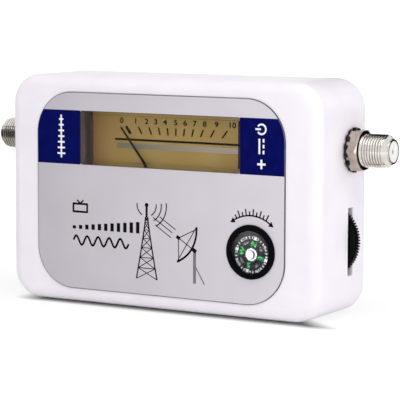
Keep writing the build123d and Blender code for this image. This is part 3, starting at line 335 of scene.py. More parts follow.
# Signs on the blue blocks, in white: an upright aerial with seven rods on the left one, and a
# ring with a stem, the lines of direct current and a plus on the right one.
sign_stroke = 0.5
aerial_x = -32.6
aerial_foot = 42.2
aerial_length = 12.4
aerial_rods = 7
rod_start = 1.2
rod_pitch = 1.65
rod_length = 2.7
rod_taper = 0.2
sign_marks = line([(aerial_x, aerial_foot), (aerial_x, aerial_foot + aerial_length)], sign_stroke)
for step in range(aerial_rods):
    rod_z = aerial_foot + rod_start + rod_pitch * step
    sign_marks.append(bar(aerial_x, rod_z, rod_length - rod_taper * step, sign_stroke))

power_x = 33.7
power_z = 48.3
plus_z = power_z - 4.9
plus_size = 2.6
plus_stroke = 0.6
current_shift = 0.65
current_stroke = 0.55
current_length = 4.2
dash_pitch = 1.6
dash_length = 1.0
ring_z = power_z + 4.7
ring_radius = 1.35
ring_start = 215
ring_end = 505
stem_reach = 1.9
stem_end = 0.2
sign_marks.append(bar(power_x, plus_z, plus_size, plus_stroke))
sign_marks.append(bar(power_x, plus_z, plus_stroke, plus_size))
sign_marks.append(bar(power_x - current_shift, power_z, current_stroke, current_length))
for step in (-1, 0, 1):
    dash_z = power_z + dash_pitch * step
    sign_marks.append(bar(power_x + current_shift, dash_z, current_stroke, dash_length))
sign_marks += line(arc(power_x, ring_z, ring_radius, ring_start, ring_end), sign_stroke)
sign_marks += line([(power_x - stem_reach, ring_z), (power_x - stem_end, ring_z)], sign_stroke)
printed(
    "label_block_signs", sign_marks, label_front - ink_height, ink_height, white_ink, "case",
)

# Drawing on the plate, in black: a small television, bars of rising level and a wave at the
# left, a mast with its waves, a dish that looks up to it, and an arrow with ticks at the compass.
row_left = -28.8
row_inset = 0.3
set_left = row_left + row_inset
set_width = 4.8
set_foot = 26.7
set_height = 2.3
set_stroke = 0.6
set_right = set_left + set_width
set_head = set_foot + set_height
set_corners = [
    (set_left, set_foot), (set_right, set_foot), (set_right, set_head), (set_left, set_head)
]
row_marks = line(set_corners + set_corners[:2], set_stroke)
horn_foot = set_head + 0.1
horn_rise = 1.0
horn_spread = 1.1
horn_stroke = 0.45
set_middle = (set_left + set_right) / 2
row_marks += line([
    (set_middle - horn_spread, horn_foot + horn_rise), (set_middle, horn_foot),
    (set_middle + horn_spread, horn_foot + horn_rise),
], horn_stroke)

level_count = 11
level_foot = 21.7
level_least = 0.9
level_growth = 2.35
level_start = row_left + 0.6
level_pitch = 2.18
level_width = 1.15
for step in range(level_count):
    level = level_least + level_growth * step / (level_count - 1)
    row_marks.append(bar(level_start + level_pitch * step, level_foot + level / 2, level_width, level))

wave_length = 19.0
wave_height = 1.3
wave_z = 18.4
wave_turns = 5
wave_steps = 96
wave_stroke = 0.62
wave = []
for step in range(wave_steps + 1):
    share = step / wave_steps
    swing = wave_height * math.sin(2 * math.pi * wave_turns * share)
    wave.append((row_left + row_inset + wave_length * share, wave_z + swing))
row_marks += line(wave, wave_stroke)

compass_x = 30.45
compass_z = 19.0
turn_radius = 10.1
turn_start = 54
turn_end = 121
turn_stroke = 0.42
head_length = 1.5
head_half_width = 0.85
turn_points = arc(compass_x, compass_z, turn_radius, turn_start, turn_end, steps=24)
row_marks += line(turn_points, turn_stroke)
for angle, way in ((turn_start, -90), (turn_end, 90)):
    tip_x, tip_z = spot(compass_x, compass_z, turn_radius, angle)
    heading = math.radians(angle + way)
    ahead_x, ahead_z = math.cos(heading), math.sin(heading)
    row_marks.append([
        (tip_x + head_length * ahead_x, tip_z + head_length * ahead_z),
        (tip_x - head_half_width * ahead_z, tip_z + head_half_width * ahead_x),
        (tip_x + head_half_width * ahead_z, tip_z - head_half_width * ahead_x),
    ])
tick_start = 62
tick_end = 118
tick_pitch = 6
tick_reaches = (1.9, 1.2)
tick_stroke = 0.4
for step, angle in enumerate(range(tick_start, tick_end, tick_pitch)):
    tick_foot = spot(compass_x, compass_z, turn_radius, angle)
    tick_head = spot(compass_x, compass_z, turn_radius + tick_reaches[step % 2], angle)
    row_marks += line([tick_foot, tick_head], tick_stroke)

mast_x = -3.4
mast_foot = 8.8
mast_head = 26.6
mast_half = 3.1
mast_tip_half = 0.35
mast_bays = 7
bay_taper = 1.25
leg_taper = 1.15
leg_stroke = 0.42
brace_stroke = 0.24
left_leg = []
right_leg = []
for step in range(mast_bays + 1):
    share = 1 - (1 - step / mast_bays) ** bay_taper
    half = mast_half * (1 - share) ** leg_taper + mast_tip_half
    level = mast_foot + (mast_head - mast_foot) * share
    left_leg.append((mast_x - half, level))
    right_leg.append((mast_x + half, level))
row_marks += line(left_leg, leg_stroke) + line(right_leg, leg_stroke)
for step in range(mast_bays):
    row_marks += line([left_leg[step], right_leg[step + 1]], brace_stroke)
    row_marks += line([right_leg[step], left_leg[step + 1]], brace_stroke)
    row_marks += line([left_leg[step + 1], right_leg[step + 1]], brace_stroke)
spike_top = mast_head + 3.4
spike_stroke = 0.7
ball_radius = 0.62
row_marks += line([(mast_x, mast_head), (mast_x, spike_top)], spike_stroke)
row_marks.append(disc(mast_x, spike_top, ball_radius))
wave_radii = (3.2, 4.9, 6.6)
right_span = (-62, 8)
left_span = (172, 242)
radiated_stroke = 0.34
for radius in wave_radii:
    row_marks += line(arc(mast_x, spike_top, radius, *right_span), radiated_stroke)
row_marks += line(arc(mast_x, spike_top, wave_radii[0], *left_span), radiated_stroke)

dish_x = 11.6
dish_z = 18.6
dish_turn = math.radians(148)
bowl_bend = 0.055
bowl_pitch = 0.55
bowl_steps = 11
bowl_stroke = 0.6
stay_stroke = 0.26


def on_dish(ahead, side):
    """Point that lies ahead of the dish's middle and to its side."""
    return (
        dish_x + ahead * math.cos(dish_turn) - side * math.sin(dish_turn),
        dish_z + ahead * math.sin(dish_turn) + side * math.cos(dish_turn),
    )


bowl = []
for step in range(-bowl_steps, bowl_steps + 1):
    side = bowl_pitch * step
    bowl.append(on_dish(bowl_bend * side * side, side))
row_marks += line(bowl, bowl_stroke)
row_marks += line([bowl[0], bowl[-1]], stay_stroke)
stay_meeting = 5.2
feed_span = (4.7, 6.0)
feed_stroke = 1.0
hub_span = (-0.2, -1.6)
hub_stroke = 1.1
for corner in (bowl[1], bowl[bowl_steps], bowl[-2]):
    row_marks += line([corner, on_dish(stay_meeting, 0)], stay_stroke)
for span, stroke in ((feed_span, feed_stroke), (hub_span, hub_stroke)):
    row_marks += line([on_dish(ahead, 0) for ahead in span], stroke)
beam_gap = 1.4
side_beam = (7.2, 13.4)
middle_beam = (7.6, 15.2)
for side, span in ((-beam_gap, side_beam), (beam_gap, side_beam), (0, middle_beam)):
    row_marks += line([on_dish(ahead, side) for ahead in span], stay_stroke)
printed("label_drawing", row_marks, label_front, ink_height, black_ink, "case")

# Post and strut of the dish: screen print in grey, which runs down to the foot of the mast.
# It is thinner than the black ink, which covers its upper end.
post_height = 0.6 * ink_height
post_setback = 1.0
post_x, post_top = on_dish(-post_setback, 0)
post_overlap = 0.4
post_stroke = 0.95
strut_drop = 4.0
strut_spread = 3.2
strut_stroke = 0.4
post_marks = line([(post_x, post_top - post_overlap), (post_x, mast_foot)], post_stroke)
post_marks += line(
    [(post_x, post_top - strut_drop), (post_x + strut_spread, mast_foot)], strut_stroke
)
printed("label_post", post_marks, label_front, post_height, grey_ink, "case")

# Meter cover: clear polystyrene, polished, whose raised window fills the opening in the face.
# Light passes it as it passes a thin pane.


def clear(name, tint, rough, bend):
    """See-through finish that lets the lamps reach what is behind it."""
    finish, tree, shader = new_finish(name)
    shader.inputs["Base Color"].default_value = tint
    shader.inputs["Transmission Weight"].default_value = 1.0
    shader.inputs["IOR"].default_value = bend
    shader.inputs["Specular IOR Level"].default_value = 0.3
    smears = grain(tree, size=4.0, detail=3.0)
    tree.links.new(graded(tree, smears, *rough), shader.inputs["Roughness"])
    light_path = add_node(tree, "LightPath")
    passing = add_node(tree, "BsdfTransparent", Color=tint)
    choice = add_node(tree, "MixShader")
    output = tree.nodes["Material Output"]
    tree.links.new(light_path.outputs["Is Shadow Ray"], choice.inputs["Fac"])
    tree.links.new(shader.outputs["BSDF"], choice.inputs[1])
    tree.links.new(passing.outputs["BSDF"], choice.inputs[2])
    tree.links.new(choice.outputs["Shader"], output.inputs["Surface"])
    return finish


cover_finish = clear("clear_plastic", tint=(0.97, 0.97, 0.95, 1.0), rough=(0.0, 0.02), bend=1.12)
dress(cover_finish, "meter_cover")

# Thin dark film in the gap between the raised window and its opening, put there as painted
# shade: it darkens the white wall of the opening behind the clear plastic.
opening_corner = 0.6
shade_film_gap = 0.075
shade_film_width = 0.09
shade_film_ground = -12.9
shade_film_height = 2.0
shade_film_outline = rounded(
    window_left, window_right, window_bottom, window_top, opening_corner, inset=shade_film_gap, steps=4
)
shade_film, _, _ = mottled(
    "shade_film", paint(78, 75, 80), paint(92, 88, 93), rough=(0.3, 0.42), patch=2.0, pore=0.2,
    depth=0.002, gloss=0.2,
)
printed(
    "window_shade_film", line(shade_film_outline + shade_film_outline[:2], shade_film_width), shade_film_ground, shade_film_height,
    shade_film, "case",
)

# Meter base: dark moulded tray behind the dial, with the drum of the movement on its back.
# It is smooth enough to pick up light from the window.
tray_finish, _, _ = mottled(
    "dark_plastic", paint(68, 65, 60), paint(88, 84, 77), rough=(0.3, 0.42), patch=4.0, pore=0.3,
    depth=0.004, gloss=0.15,
)
dress(tray_finish, "meter_base")

# Dial: thin amber plate of translucent plastic, printed with the scale.
# It lies on the floor of the tray and is browner towards its left end: partly its own colour,
# partly painted shade from the left wall of the window.
dial_low, dial_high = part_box("scale_plate")
dial_front = dial_low.y / MM
amber_finish, amber_tree, amber_shader = new_finish("dial")
amber_patches = graded(amber_tree, grain(amber_tree, size=7.0, detail=3.0), 0.0, 1.0)
amber_specks = grain(amber_tree, size=0.5, detail=3.0)
amber = blended(amber_tree, amber_patches, paint(143, 118, 67), paint(151, 128, 80))
# Length of the browner left end, partly painted shade from the window's wall.
amber_shade_end = 12 * MM
amber_tree.links.new(
    across(amber_tree, dial_low.x, dial_low.x + amber_shade_end, paint(130, 100, 61), amber),
    amber_shader.inputs["Base Color"],
)
amber_shader.inputs["Specular IOR Level"].default_value = 0.1
amber_tree.links.new(
    graded(amber_tree, amber_specks, low=0.5, high=0.62), amber_shader.inputs["Roughness"]
)
relief(amber_tree, amber_shader, amber_specks, depth=0.003)
dress(amber_finish, "scale_plate")

# Print on the dial: base line, grey band, eleven division lines that point to the pivot, and
# plain numbers from nought to ten. The grey band under the line is partly print and partly a
# painted soft shadow of the line, painted darker towards the left as shade.
scale_pivot_x = 2.1
scale_pivot_z = 30.3
half_sweep = 38.5
divisions = 10
line_left = -18.5
line_right = dial_high.x / MM
line_z = 47.7
line_stroke = 0.62
division_low = 49.4
division_high = 51.5
first_stroke = 0.85
division_stroke = 0.48
dial_line = line([(line_left, line_z), (line_right, line_z)], line_stroke)
for step in range(divisions + 1):
    lean = math.tan(math.radians(half_sweep * (2 * step / divisions - 1)))
    ends = []
    for level in (division_low, division_high):
        ends.append((scale_pivot_x + (level - scale_pivot_z) * lean, level))
    dial_line += line(ends, first_stroke if step == 0 else division_stroke)
scale_ink = ink("scale_ink", paint(16, 11, 7), paint(24, 18, 11))
printed("dial_scale", dial_line, dial_front, ink_height, scale_ink, "case")

# Grey band below the base line: partly print, partly painted soft shadow of the line.
band_left = -18.0
band_z = 45.9
band_width = 1.5
band_height = 0.7 * ink_height
band_ink_and_shade, band_tree, band_shader = mottled(
    "band_ink_and_shade", paint(112, 100, 84), paint(122, 110, 94), rough=(0.42, 0.55), patch=3.0,
    pore=0.12, depth=0.001, gloss=0.03,
)
# Painted shade: the band darkens towards the left end of the dial.
band_tree.links.new(
    across(band_tree, dial_low.x, dial_high.x, paint(98, 92, 74), paint(158, 150, 142)),
    band_shader.inputs["Base Color"],
)
band = [bar((line_right + band_left) / 2, band_z, line_right - band_left, band_width)]
printed("dial_band_and_shade", band, dial_front, band_height, band_ink_and_shade, "case")


def lettered(name, words, ground_y, height, finish, body, swell=0.0, widen=1.0):
    """Closed letters and numbers, each given as text, centre x, centre z, size and turn."""
    sunk = height / 5
    layer = bmesh.new()
    for text, x, z, size, turn in words:
        curve = bpy.data.curves.new(name, "FONT")
        curve.body = text
        curve.size = size
        curve.align_x = "CENTER"
        curve.align_y = "CENTER"
        curve.extrude = (height + sunk) / 2
        curve.offset = swell
        holder = bpy.data.objects.new(name, curve)
        drawn = bpy.data.meshes.new_from_object(holder)
        bpy.data.objects.remove(holder)
        bpy.data.curves.remove(curve)
        low = min(corner.co.y for corner in drawn.vertices)
        high = max(corner.co.y for corner in drawn.vertices)
        place = Matrix.Scale(MM, 4)
        place = place @ Matrix.Translation((x, ground_y - (height - sunk) / 2, z))
        place = place @ Matrix.Rotation(math.radians(-turn), 4, "Y")
        place = place @ Matrix.Rotation(math.radians(90), 4, "X")
        place = place @ Matrix.Diagonal((widen, 1, 1, 1))
        place = place @ Matrix.Translation((0, -(low + high) / 2, 0))
        drawn.transform(place)
        layer.from_mesh(drawn)
        bpy.data.meshes.remove(drawn)
    bmesh.ops.remove_doubles(layer, verts=layer.verts, dist=1e-7)
    mesh = bpy.data.meshes.new(name)
    layer.to_mesh(mesh)
    layer.free()
    piece = bpy.data.objects.new(name, mesh)
    bpy.context.scene.collection.objects.link(piece)
    mesh.materials.append(finish)
    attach(piece, body)


number_places = (-16.2, -11.4, -7.7, -4.65, -1.46, 2.04, 5.19, 8.32, 11.6, 15.5, 20.5)
number_z = 53.15
number_size = 2.15
number_swell = 0.053
number_widen = 1.22
numbers = [(str(step), x, number_z, number_size, 0) for step, x in enumerate(number_places)]
lettered(
    "dial_numbers", numbers, dial_front, ink_height, scale_ink, "case",
    swell=number_swell, widen=number_widen,
)

# Pointer of the meter: black needle, brass hub and counterweight on steel shafts, and the
# aluminium former with its copper winding that turns in the magnet's field.
needle_finish, _, _ = mottled(
    "needle_black", paint(18, 14, 10), paint(28, 22, 16), rough=(0.4, 0.55), patch=2.0, pore=0.1,
    depth=0.002, gloss=0.1,
)
dress(needle_finish, "needle")
coat_thickness = 0.08 * MM
paint_coat = nodes["needle"].modifiers.new("paint_coat", "DISPLACE")
paint_coat.mid_level = 0.0
paint_coat.strength = coat_thickness
brass, _, _ = mottled(
    "brass", paint(188, 152, 82), paint(206, 172, 100), rough=(0.22, 0.36), patch=1.5, pore=0.1,
    depth=0.002, metal=1.0,
)
dress(brass, "needle_hub", "counterweight", "front_bridge", "core_spacers", "pivot_jewel")
dress(brass, "meter_terminals")
aluminium, _, _ = mottled(
    "aluminium", paint(190, 192, 195), paint(208, 210, 212), rough=(0.3, 0.44), patch=1.5, pore=0.1,
    depth=0.002, metal=1.0,
)
dress(aluminium, "coil_frame", "potentiometer_shaft")


def wire_wound(name, dark, light, pitch):
    """Finish of close turns of wire, which run round the Z direction of the coil."""
    finish, tree, shader = mottled(
        name, dark, light, rough=(0.25, 0.4), patch=1.0, pore=0.1, depth=0.002, metal=0.8
    )
    bands_per_unit = 3.2
    place = add_node(tree, "TexCoord")
    turns = add_node(tree, "TexWave", Scale=1 / (MM * pitch * bands_per_unit), Distortion=0.4)
    turns.wave_type = "BANDS"
    turns.bands_direction = "Y"
    tree.links.new(place.outputs["Object"], turns.inputs["Vector"])
    relief(tree, shader, turns.outputs["Fac"], depth=0.03)
    return finish


copper_wire = wire_wound("copper_wire", paint(150, 74, 34), paint(188, 104, 56), pitch=0.12)
dress(copper_wire, "coil_winding")
bronze, _, _ = mottled(
    "spring_bronze", paint(170, 122, 66), paint(190, 142, 84), rough=(0.25, 0.35), patch=1.0,
    pore=0.1, depth=0.001, metal=1.0,
)
dress(bronze, "hairspring")

# Magnet system of the meter: soft-iron yoke ring, black-oxide core magnet.
# The compass card carries two bars of the same magnet metal.
iron, _, _ = mottled(
    "iron", paint(96, 96, 98), paint(122, 121, 122), rough=(0.38, 0.52), patch=2.0, pore=0.2,
    depth=0.004, metal=1.0,
)
dress(iron, "meter_yoke")
magnet, _, _ = mottled(
    "magnet", paint(58, 58, 62), paint(78, 78, 82), rough=(0.4, 0.55), patch=1.5, pore=0.15,
    depth=0.005, metal=0.7,
)
dress(magnet, "core_magnet", "compass_magnets")

# Leads of the meter: soft PVC sleeves over stranded wire, black for minus and red for plus.
# Both are soldered to the meter's terminals and to the board.
red_sleeve, _, _ = mottled(
    "red_sleeve", paint(150, 20, 22), paint(176, 32, 30), rough=(0.4, 0.5), patch=1.0, pore=0.2,
    depth=0.004,
)
dress(red_sleeve, "positive_lead")
black_sleeve, _, _ = mottled(
    "black_sleeve", paint(20, 20, 22), paint(34, 34, 36), rough=(0.4, 0.5), patch=1.0, pore=0.2,
    depth=0.004,
)
dress(black_sleeve, "negative_lead")

# Backlight: two amber lamps with milky epoxy domes behind the dial.
# They stand on the board and pass the floor of the tray.
lamp_finish, _, lamp_shader = mottled(
    "led_amber", paint(214, 132, 34), paint(232, 158, 58), rough=(0.12, 0.2), patch=1.5, pore=0.3,
    depth=0.002,
)
lamp_shader.inputs["Subsurface Weight"].default_value = 0.3
lamp_shader.inputs["Subsurface Scale"].default_value = 1.0 * MM
dress(lamp_finish, "backlight_leds")

# Compass: gloss-black moulded capsule pressed into the face, with a clear lens behind its lip.
# The card turns on a pin inside it and carries a white cap.
capsule_finish, _, _ = mottled(
    "gloss_black", paint(4, 4, 6), paint(8, 8, 10), rough=(0.1, 0.16), patch=5.0, pore=0.6,
    depth=0.001, gloss=0.03,
)
dress(capsule_finish, "compass_housing")
card_finish, _, _ = mottled(
    "card_black", paint(7, 7, 9), paint(13, 13, 16), rough=(0.35, 0.5), patch=2.0, pore=0.1,
    depth=0.002, gloss=0.1,
)
dress(card_finish, "compass_card")
cap_finish, _, _ = mottled(
    "white_cap", paint(236, 236, 238), paint(246, 246, 247), rough=(0.2, 0.3), patch=1.0, pore=0.2,
    depth=0.002,
)
dress(cap_finish, "compass_hub")

# Print on the compass card: ring of ticks with squares at the four main directions, green
# letters inside these, small degrees and marks between them, and a white spot round the cap.
card_low, card_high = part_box("compass_card")
card_front = card_low.y / MM
card_x = (card_low.x + card_high.x) / 2 / MM
card_z = (card_low.z + card_high.z) / 2 / MM
card_turn = -16.0
tick_count = 32
main_every = 8
main_radii = (4.25, 5.2)
main_stroke = 0.85
minor_radii = (4.45, 5.15)
minor_stroke = 0.25
white_spot_radius = 1.75
card_marks = []
for step in range(tick_count):
    angle = card_turn + 90 + 360 / tick_count * step
    main = step % main_every == 0
    if step % main_every == main_every / 2:
        continue
    ends = [spot(card_x, card_z, radius, angle) for radius in (main_radii if main else minor_radii)]
    card_marks += line(ends, main_stroke if main else minor_stroke)
card_marks.append(disc(card_x, card_z, white_spot_radius))
printed("compass_ring", card_marks, card_front, ink_height, white_ink, "compass_card")
green_ink = ink("green_ink", paint(40, 176, 78), paint(64, 198, 98))
letter_radius = 3.05
letter_size = 2.25
letter_swell = 0.045
degree_radius = 4.8
between_radius = 3.45
small_size = 1.05
directions = []
degrees = []
between = []
for step, (main_name, between_name) in enumerate(zip("NESW", ("NE", "SE", "SW", "NW"))):
    turn = card_turn - 90 * step
    place = spot(card_x, card_z, letter_radius, 90 + turn)
    directions.append((main_name, *place, letter_size, turn))
    place = spot(card_x, card_z, degree_radius, 45 + turn)
    degrees.append((str(45 + 90 * step), *place, small_size, turn - 45))
    place = spot(card_x, card_z, between_radius, 45 + turn)
    between.append((between_name, *place, small_size, turn - 45))
lettered(
    "compass_letters", directions, card_front, ink_height, green_ink, "compass_card",
    swell=letter_swell,
)
lettered(
    "compass_degrees", degrees, card_front, ink_height, white_ink, "compass_card"
)
pale_ink = ink("pale_ink", paint(150, 146, 160), paint(172, 168, 182))
lettered(
    "compass_marks", between, card_front, ink_height, pale_ink, "compass_card"
)
# Black disc on the flange of the hub round the neck of the cap: painted shadow of the gap under the
# cap.
hub_shadow_radius = 1.25
hub_flange_thickness = 0.2
hub_flange_front = card_front - hub_flange_thickness
printed(
    "compass_hub_shadow", [disc(card_x, card_z, hub_shadow_radius)], hub_flange_front, ink_height,
    black_ink, "compass_card",
)

# Lens of the compass: clear moulded disc, its shine dulled a little by handling, snapped in
# behind the lip of the bezel. Its front is slightly domed and catches a lamp at its upper edge.
lens_low, lens_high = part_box("compass_lens")
lens_x = (lens_low.x + lens_high.x) / 2
lens_z = (lens_low.z + lens_high.z) / 2
lens_radius = (lens_high.x - lens_low.x) / 2
lens_dome = 0.2 * MM
dome_radius = 5.9 * MM
dome_rings = 12
lens_sides = 96
lens_profile = []
for step in range(dome_rings + 1):
    radius = dome_radius * step / dome_rings
    lens_profile.append((radius, lens_low.y + lens_dome * (radius / dome_radius) ** 2))
lens_profile += [(lens_radius, lens_low.y + lens_dome), (lens_radius, lens_high.y)]
lens_mesh = bpy.data.meshes.new("compass_lens_clear")
lens_form = bmesh.new()
middle = lens_form.verts.new((lens_x, lens_low.y, lens_z))
rings = []
for radius, level in lens_profile[1:]:
    ring = []
    for side in range(lens_sides):
        turn = 2 * math.pi * side / lens_sides
        ring.append(lens_form.verts.new(
            (lens_x + radius * math.cos(turn), level, lens_z + radius * math.sin(turn))
        ))
    rings.append(ring)
for side in range(lens_sides):
    after = (side + 1) % lens_sides
    lens_form.faces.new((middle, rings[0][side], rings[0][after]))
    for inner, outer in zip(rings, rings[1:]):
        lens_form.faces.new((inner[side], outer[side], outer[after], inner[after]))
lens_form.faces.new(rings[-1])
bmesh.ops.recalc_face_normals(lens_form, faces=lens_form.faces)
for face in lens_form.faces:
    face.smooth = face.calc_center_median().y < lens_low.y + lens_dome
lens_form.to_mesh(lens_mesh)
lens_form.free()
lens_piece = bpy.data.objects.new("compass_lens_clear", lens_mesh)
bpy.context.scene.collection.objects.link(lens_piece)
lens_mesh.materials.append(
    clear("compass_lens", tint=(0.97, 0.97, 0.98, 1.0), rough=(0.27, 0.31), bend=1.14)
)
dress(cover_finish, "compass_lens")
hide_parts("compass_lens")
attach(lens_piece, "case")

# Coaxial ports: nickel-plated brass barrels with a thread and a chamfered nut each, a dished
# washer, a white insulator in the mouth and a tinned contact in it. The washer is painted near
# black as a painted dark reflection, and the nut darker than the barrel as painted shade.


def turned_metal(name, dark, light, rough, spread):
    """Plated metal with the fine rings that a lathe leaves round the X axis."""
    finish, tree, shader = new_finish(name)
    patches = graded(tree, grain(tree, size=2.5, detail=3.0), 0.0, 1.0)
    rings = grain(tree, size=0.08, stretch=(1, spread, spread), detail=3.0)
    tree.links.new(blended(tree, patches, dark, light), shader.inputs["Base Color"])
    tree.links.new(graded(tree, rings, *rough), shader.inputs["Roughness"])
    shader.inputs["Metallic"].default_value = 1.0
    relief(tree, shader, rings, depth=0.003)
    return finish


def vector_step(tree, operation, first, second):
    """Output of one step of vector arithmetic on a socket and a fixed vector."""
    step = add_node(tree, "VectorMath")
    step.operation = operation
    tree.links.new(first, step.inputs[0])
    step.inputs[1].default_value = second
    return step.outputs["Value" if operation == "LENGTH" else "Vector"]


nickel = turned_metal("nickel", paint(212, 208, 202), paint(230, 227, 222), rough=(0.1, 0.2), spread=30)
# Nickel of the nuts, darker than the barrels': painted shade of the shaded wall that they reflect.
nut_nickel_and_shade = turned_metal(
    "nut_nickel_and_shade", paint(158, 146, 138), paint(196, 185, 175), rough=(0.14, 0.26), spread=4
)
# Washers painted near black: painted dark reflection.
washer_dark_reflection, _, _ = mottled(
    "washer_dark_reflection", paint(34, 33, 35), paint(70, 68, 70), rough=(0.2, 0.34), patch=0.9, pore=0.1,
    depth=0.003, metal=1.0,
)
# Front face of the nut painted near black round its bore: painted shade and dark reflection at the
# mouth of the thread.
nut_low, nut_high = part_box("receiver_port_nut")
nut_bore = 5.2 * MM
nut_bore_shade = 0.25 * MM
nut_tree = nut_nickel_and_shade.node_tree
nut_shader = nut_tree.nodes["Principled BSDF"]
nut_place = add_node(nut_tree, "TexCoord").outputs["Object"]
nut_away = vector_step(nut_tree, "SUBTRACT", nut_place, (0, *((nut_low + nut_high) / 2)[1:]))
nut_away = vector_step(nut_tree, "MULTIPLY", nut_away, (0, 1, 1))
nut_away = vector_step(nut_tree, "LENGTH", nut_away, (0, 0, 0))
nut_bore_painted_shade = graded(nut_tree, nut_away, 1.0, 0.0, nut_bore, nut_bore + nut_bore_shade)
nut_colour = nut_shader.inputs["Base Color"].links[0].from_socket
nut_tree.links.new(
    blended(nut_tree, nut_bore_painted_shade, nut_colour, paint(22, 20, 20)), nut_shader.inputs["Base Color"]
)
for side in ("antenna_port_", "receiver_port_"):
    dress(nickel, side + "barrel")
    dress(nut_nickel_and_shade, side + "nut")
    dress(washer_dark_reflection, side + "washer")
core_finish, _, core_shader = mottled(
    "white_core", paint(234, 233, 228), paint(245, 244, 240), rough=(0.3, 0.42), patch=2.0,
    pore=0.2, depth=0.003,
)
core_shader.inputs["Subsurface Weight"].default_value = 0.2
core_shader.inputs["Subsurface Scale"].default_value = 0.6 * MM
dress(core_finish, "antenna_port_insulator", "receiver_port_insulator")

# Gain wheel and potentiometer: black moulded thumb wheel with a toothed rim, screwed to the
# shaft of a sealed carbon potentiometer on the board.
black_plastic, _, _ = mottled(
    "black_plastic", paint(6, 6, 8), paint(12, 12, 14), rough=(0.32, 0.46), patch=3.0, pore=0.25,
    depth=0.006, gloss=0.06,
)
dress(black_plastic, "gain_wheel", "potentiometer_body")

# Circuit board: green solder mask over glass cloth, with tinned cans and tags, black chips,
# sleeved capacitors, ferrite chokes, glass diodes and small ceramic parts on it.
board_finish, board_tree, board_shader = mottled(
    "board_green", paint(18, 84, 44), paint(26, 100, 54), rough=(0.28, 0.4), patch=3.0, pore=0.3,
    depth=0.004,
)
cloth_pitch = 1.2 * MM
cloth = add_node(board_tree, "TexBrick", Scale=1 / cloth_pitch, Mortar_Size=0.04)
board_tree.links.new(add_node(board_tree, "TexCoord").outputs["Object"], cloth.inputs["Vector"])
relief(board_tree, board_shader, cloth.outputs["Fac"], depth=0.01)
dress(board_finish, "circuit_board")
tinned, _, _ = mottled(
    "tinned", paint(176, 178, 182), paint(204, 206, 210), rough=(0.24, 0.42), patch=3.0, pore=0.3,
    depth=0.006, metal=1.0,
)
dress(tinned, "potentiometer_tags", "shield_can")
dress(tinned, "antenna_port_contact", "receiver_port_contact")
chip_finish, _, _ = mottled(
    "chip_black", paint(26, 26, 28), paint(38, 38, 40), rough=(0.45, 0.6), patch=1.0, pore=0.1,
    depth=0.006,
)
dress(chip_finish, "signal_chips", "voltage_regulator")
can_finish, _, _ = mottled(
    "can_silver", paint(168, 170, 176), paint(198, 200, 206), rough=(0.2, 0.34), patch=2.0,
    pore=0.15, depth=0.003, metal=1.0,
)
dress(can_finish, "electrolytic_capacitors")
ferrite_finish, _, _ = mottled(
    "ferrite", paint(46, 46, 50), paint(66, 64, 66), rough=(0.5, 0.7), patch=1.0, pore=0.12,
    depth=0.01,
)
dress(ferrite_finish, "chokes")
glass_finish, _, _ = mottled(
    "diode_glass", paint(176, 84, 40), paint(204, 120, 66), rough=(0.06, 0.14), patch=1.0, pore=0.3,
    depth=0.001,
)
dress(glass_finish, "diodes")
part_finish, _, _ = mottled(
    "part_body", paint(150, 128, 98), paint(176, 156, 126), rough=(0.4, 0.55), patch=0.8, pore=0.1,
    depth=0.004,
)
dress(part_finish, "chip_parts")

# Studio floor: pale paper. What is seen of it is lifted to white, except in a rounded patch
# under the case, where the object's own shadow stays, deepened by a painted shadow: there the
# paper is seen far darker than the colour it bounces. The right end of the patch slants.
floor_size = 6.0
floor_drop = 0.02 * MM
floor_mesh = bpy.data.meshes.new("studio_floor")
floor_mesh.from_pydata(
    [
        (-floor_size, -floor_size, -floor_drop),
        (floor_size, -floor_size, -floor_drop),
        (floor_size, floor_size, -floor_drop),
        (-floor_size, floor_size, -floor_drop),
    ],
    [],
    [(0, 1, 2, 3)],
)
studio_floor = bpy.data.objects.new("studio_floor", floor_mesh)
bpy.context.scene.collection.objects.link(studio_floor)


def arithmetic(tree, kind, operation, first, second):
    """Node that joins two sockets by one step of arithmetic on numbers or vectors."""
    step = add_node(tree, kind)
    step.operation = operation
    tree.links.new(first, step.inputs[0])
    tree.links.new(second, step.inputs[1])
    return step.outputs[0]


def seen_directly(tree):
    """1 for what the camera sees itself, in metal or through clear pieces, otherwise 0."""
    light_path = add_node(tree, "LightPath")
    direct = light_path.outputs["Is Camera Ray"]
    for kind in ("Is Glossy Ray", "Is Transmission Ray"):
        direct = arithmetic(tree, "Math", "MAXIMUM", direct, light_path.outputs[kind])
    return direct


floor_bounce = 0.95
# Dark tone of the paper as seen in the patch under the case: painted shadow.
floor_seen_shadow_tone = 0.2
edge_lift = 0.8
edge_fade = (0.0002, 0.0042)
far_lift = 0.3
far_fade = (0.01, 0.2)
foot_middle_x = 0.004
foot_half_width = 0.044
foot_half_depth = 0.0146
foot_slant = 0.04
end_stretch = 0.42
floor_finish, floor_tree, floor_shader = new_finish("studio_floor")
floor_direct = seen_directly(floor_tree)
floor_tree.links.new(
    blended(
        floor_tree, floor_direct, (floor_bounce, floor_bounce, floor_bounce, 1.0),
        (floor_seen_shadow_tone, floor_seen_shadow_tone, floor_seen_shadow_tone, 1.0),
    ),
    floor_shader.inputs["Base Color"],
)
floor_shader.inputs["Roughness"].default_value = 0.9
floor_shader.inputs["Specular IOR Level"].default_value = 0.0
floor_place = add_node(floor_tree, "TexCoord").outputs["Object"]
floor_place = vector_step(floor_tree, "SUBTRACT", floor_place, (foot_middle_x, 0, 0))
floor_axes = add_node(floor_tree, "SeparateXYZ")
floor_tree.links.new(floor_place, floor_axes.inputs[0])
floor_right = graded(floor_tree, floor_axes.outputs["X"], 0.0, 1.0, 0.0, foot_half_width / 2)
floor_back = graded(
    floor_tree, floor_axes.outputs["Y"], 0.0, foot_slant, -foot_half_depth, foot_half_depth
)
floor_shift = add_node(floor_tree, "CombineXYZ")
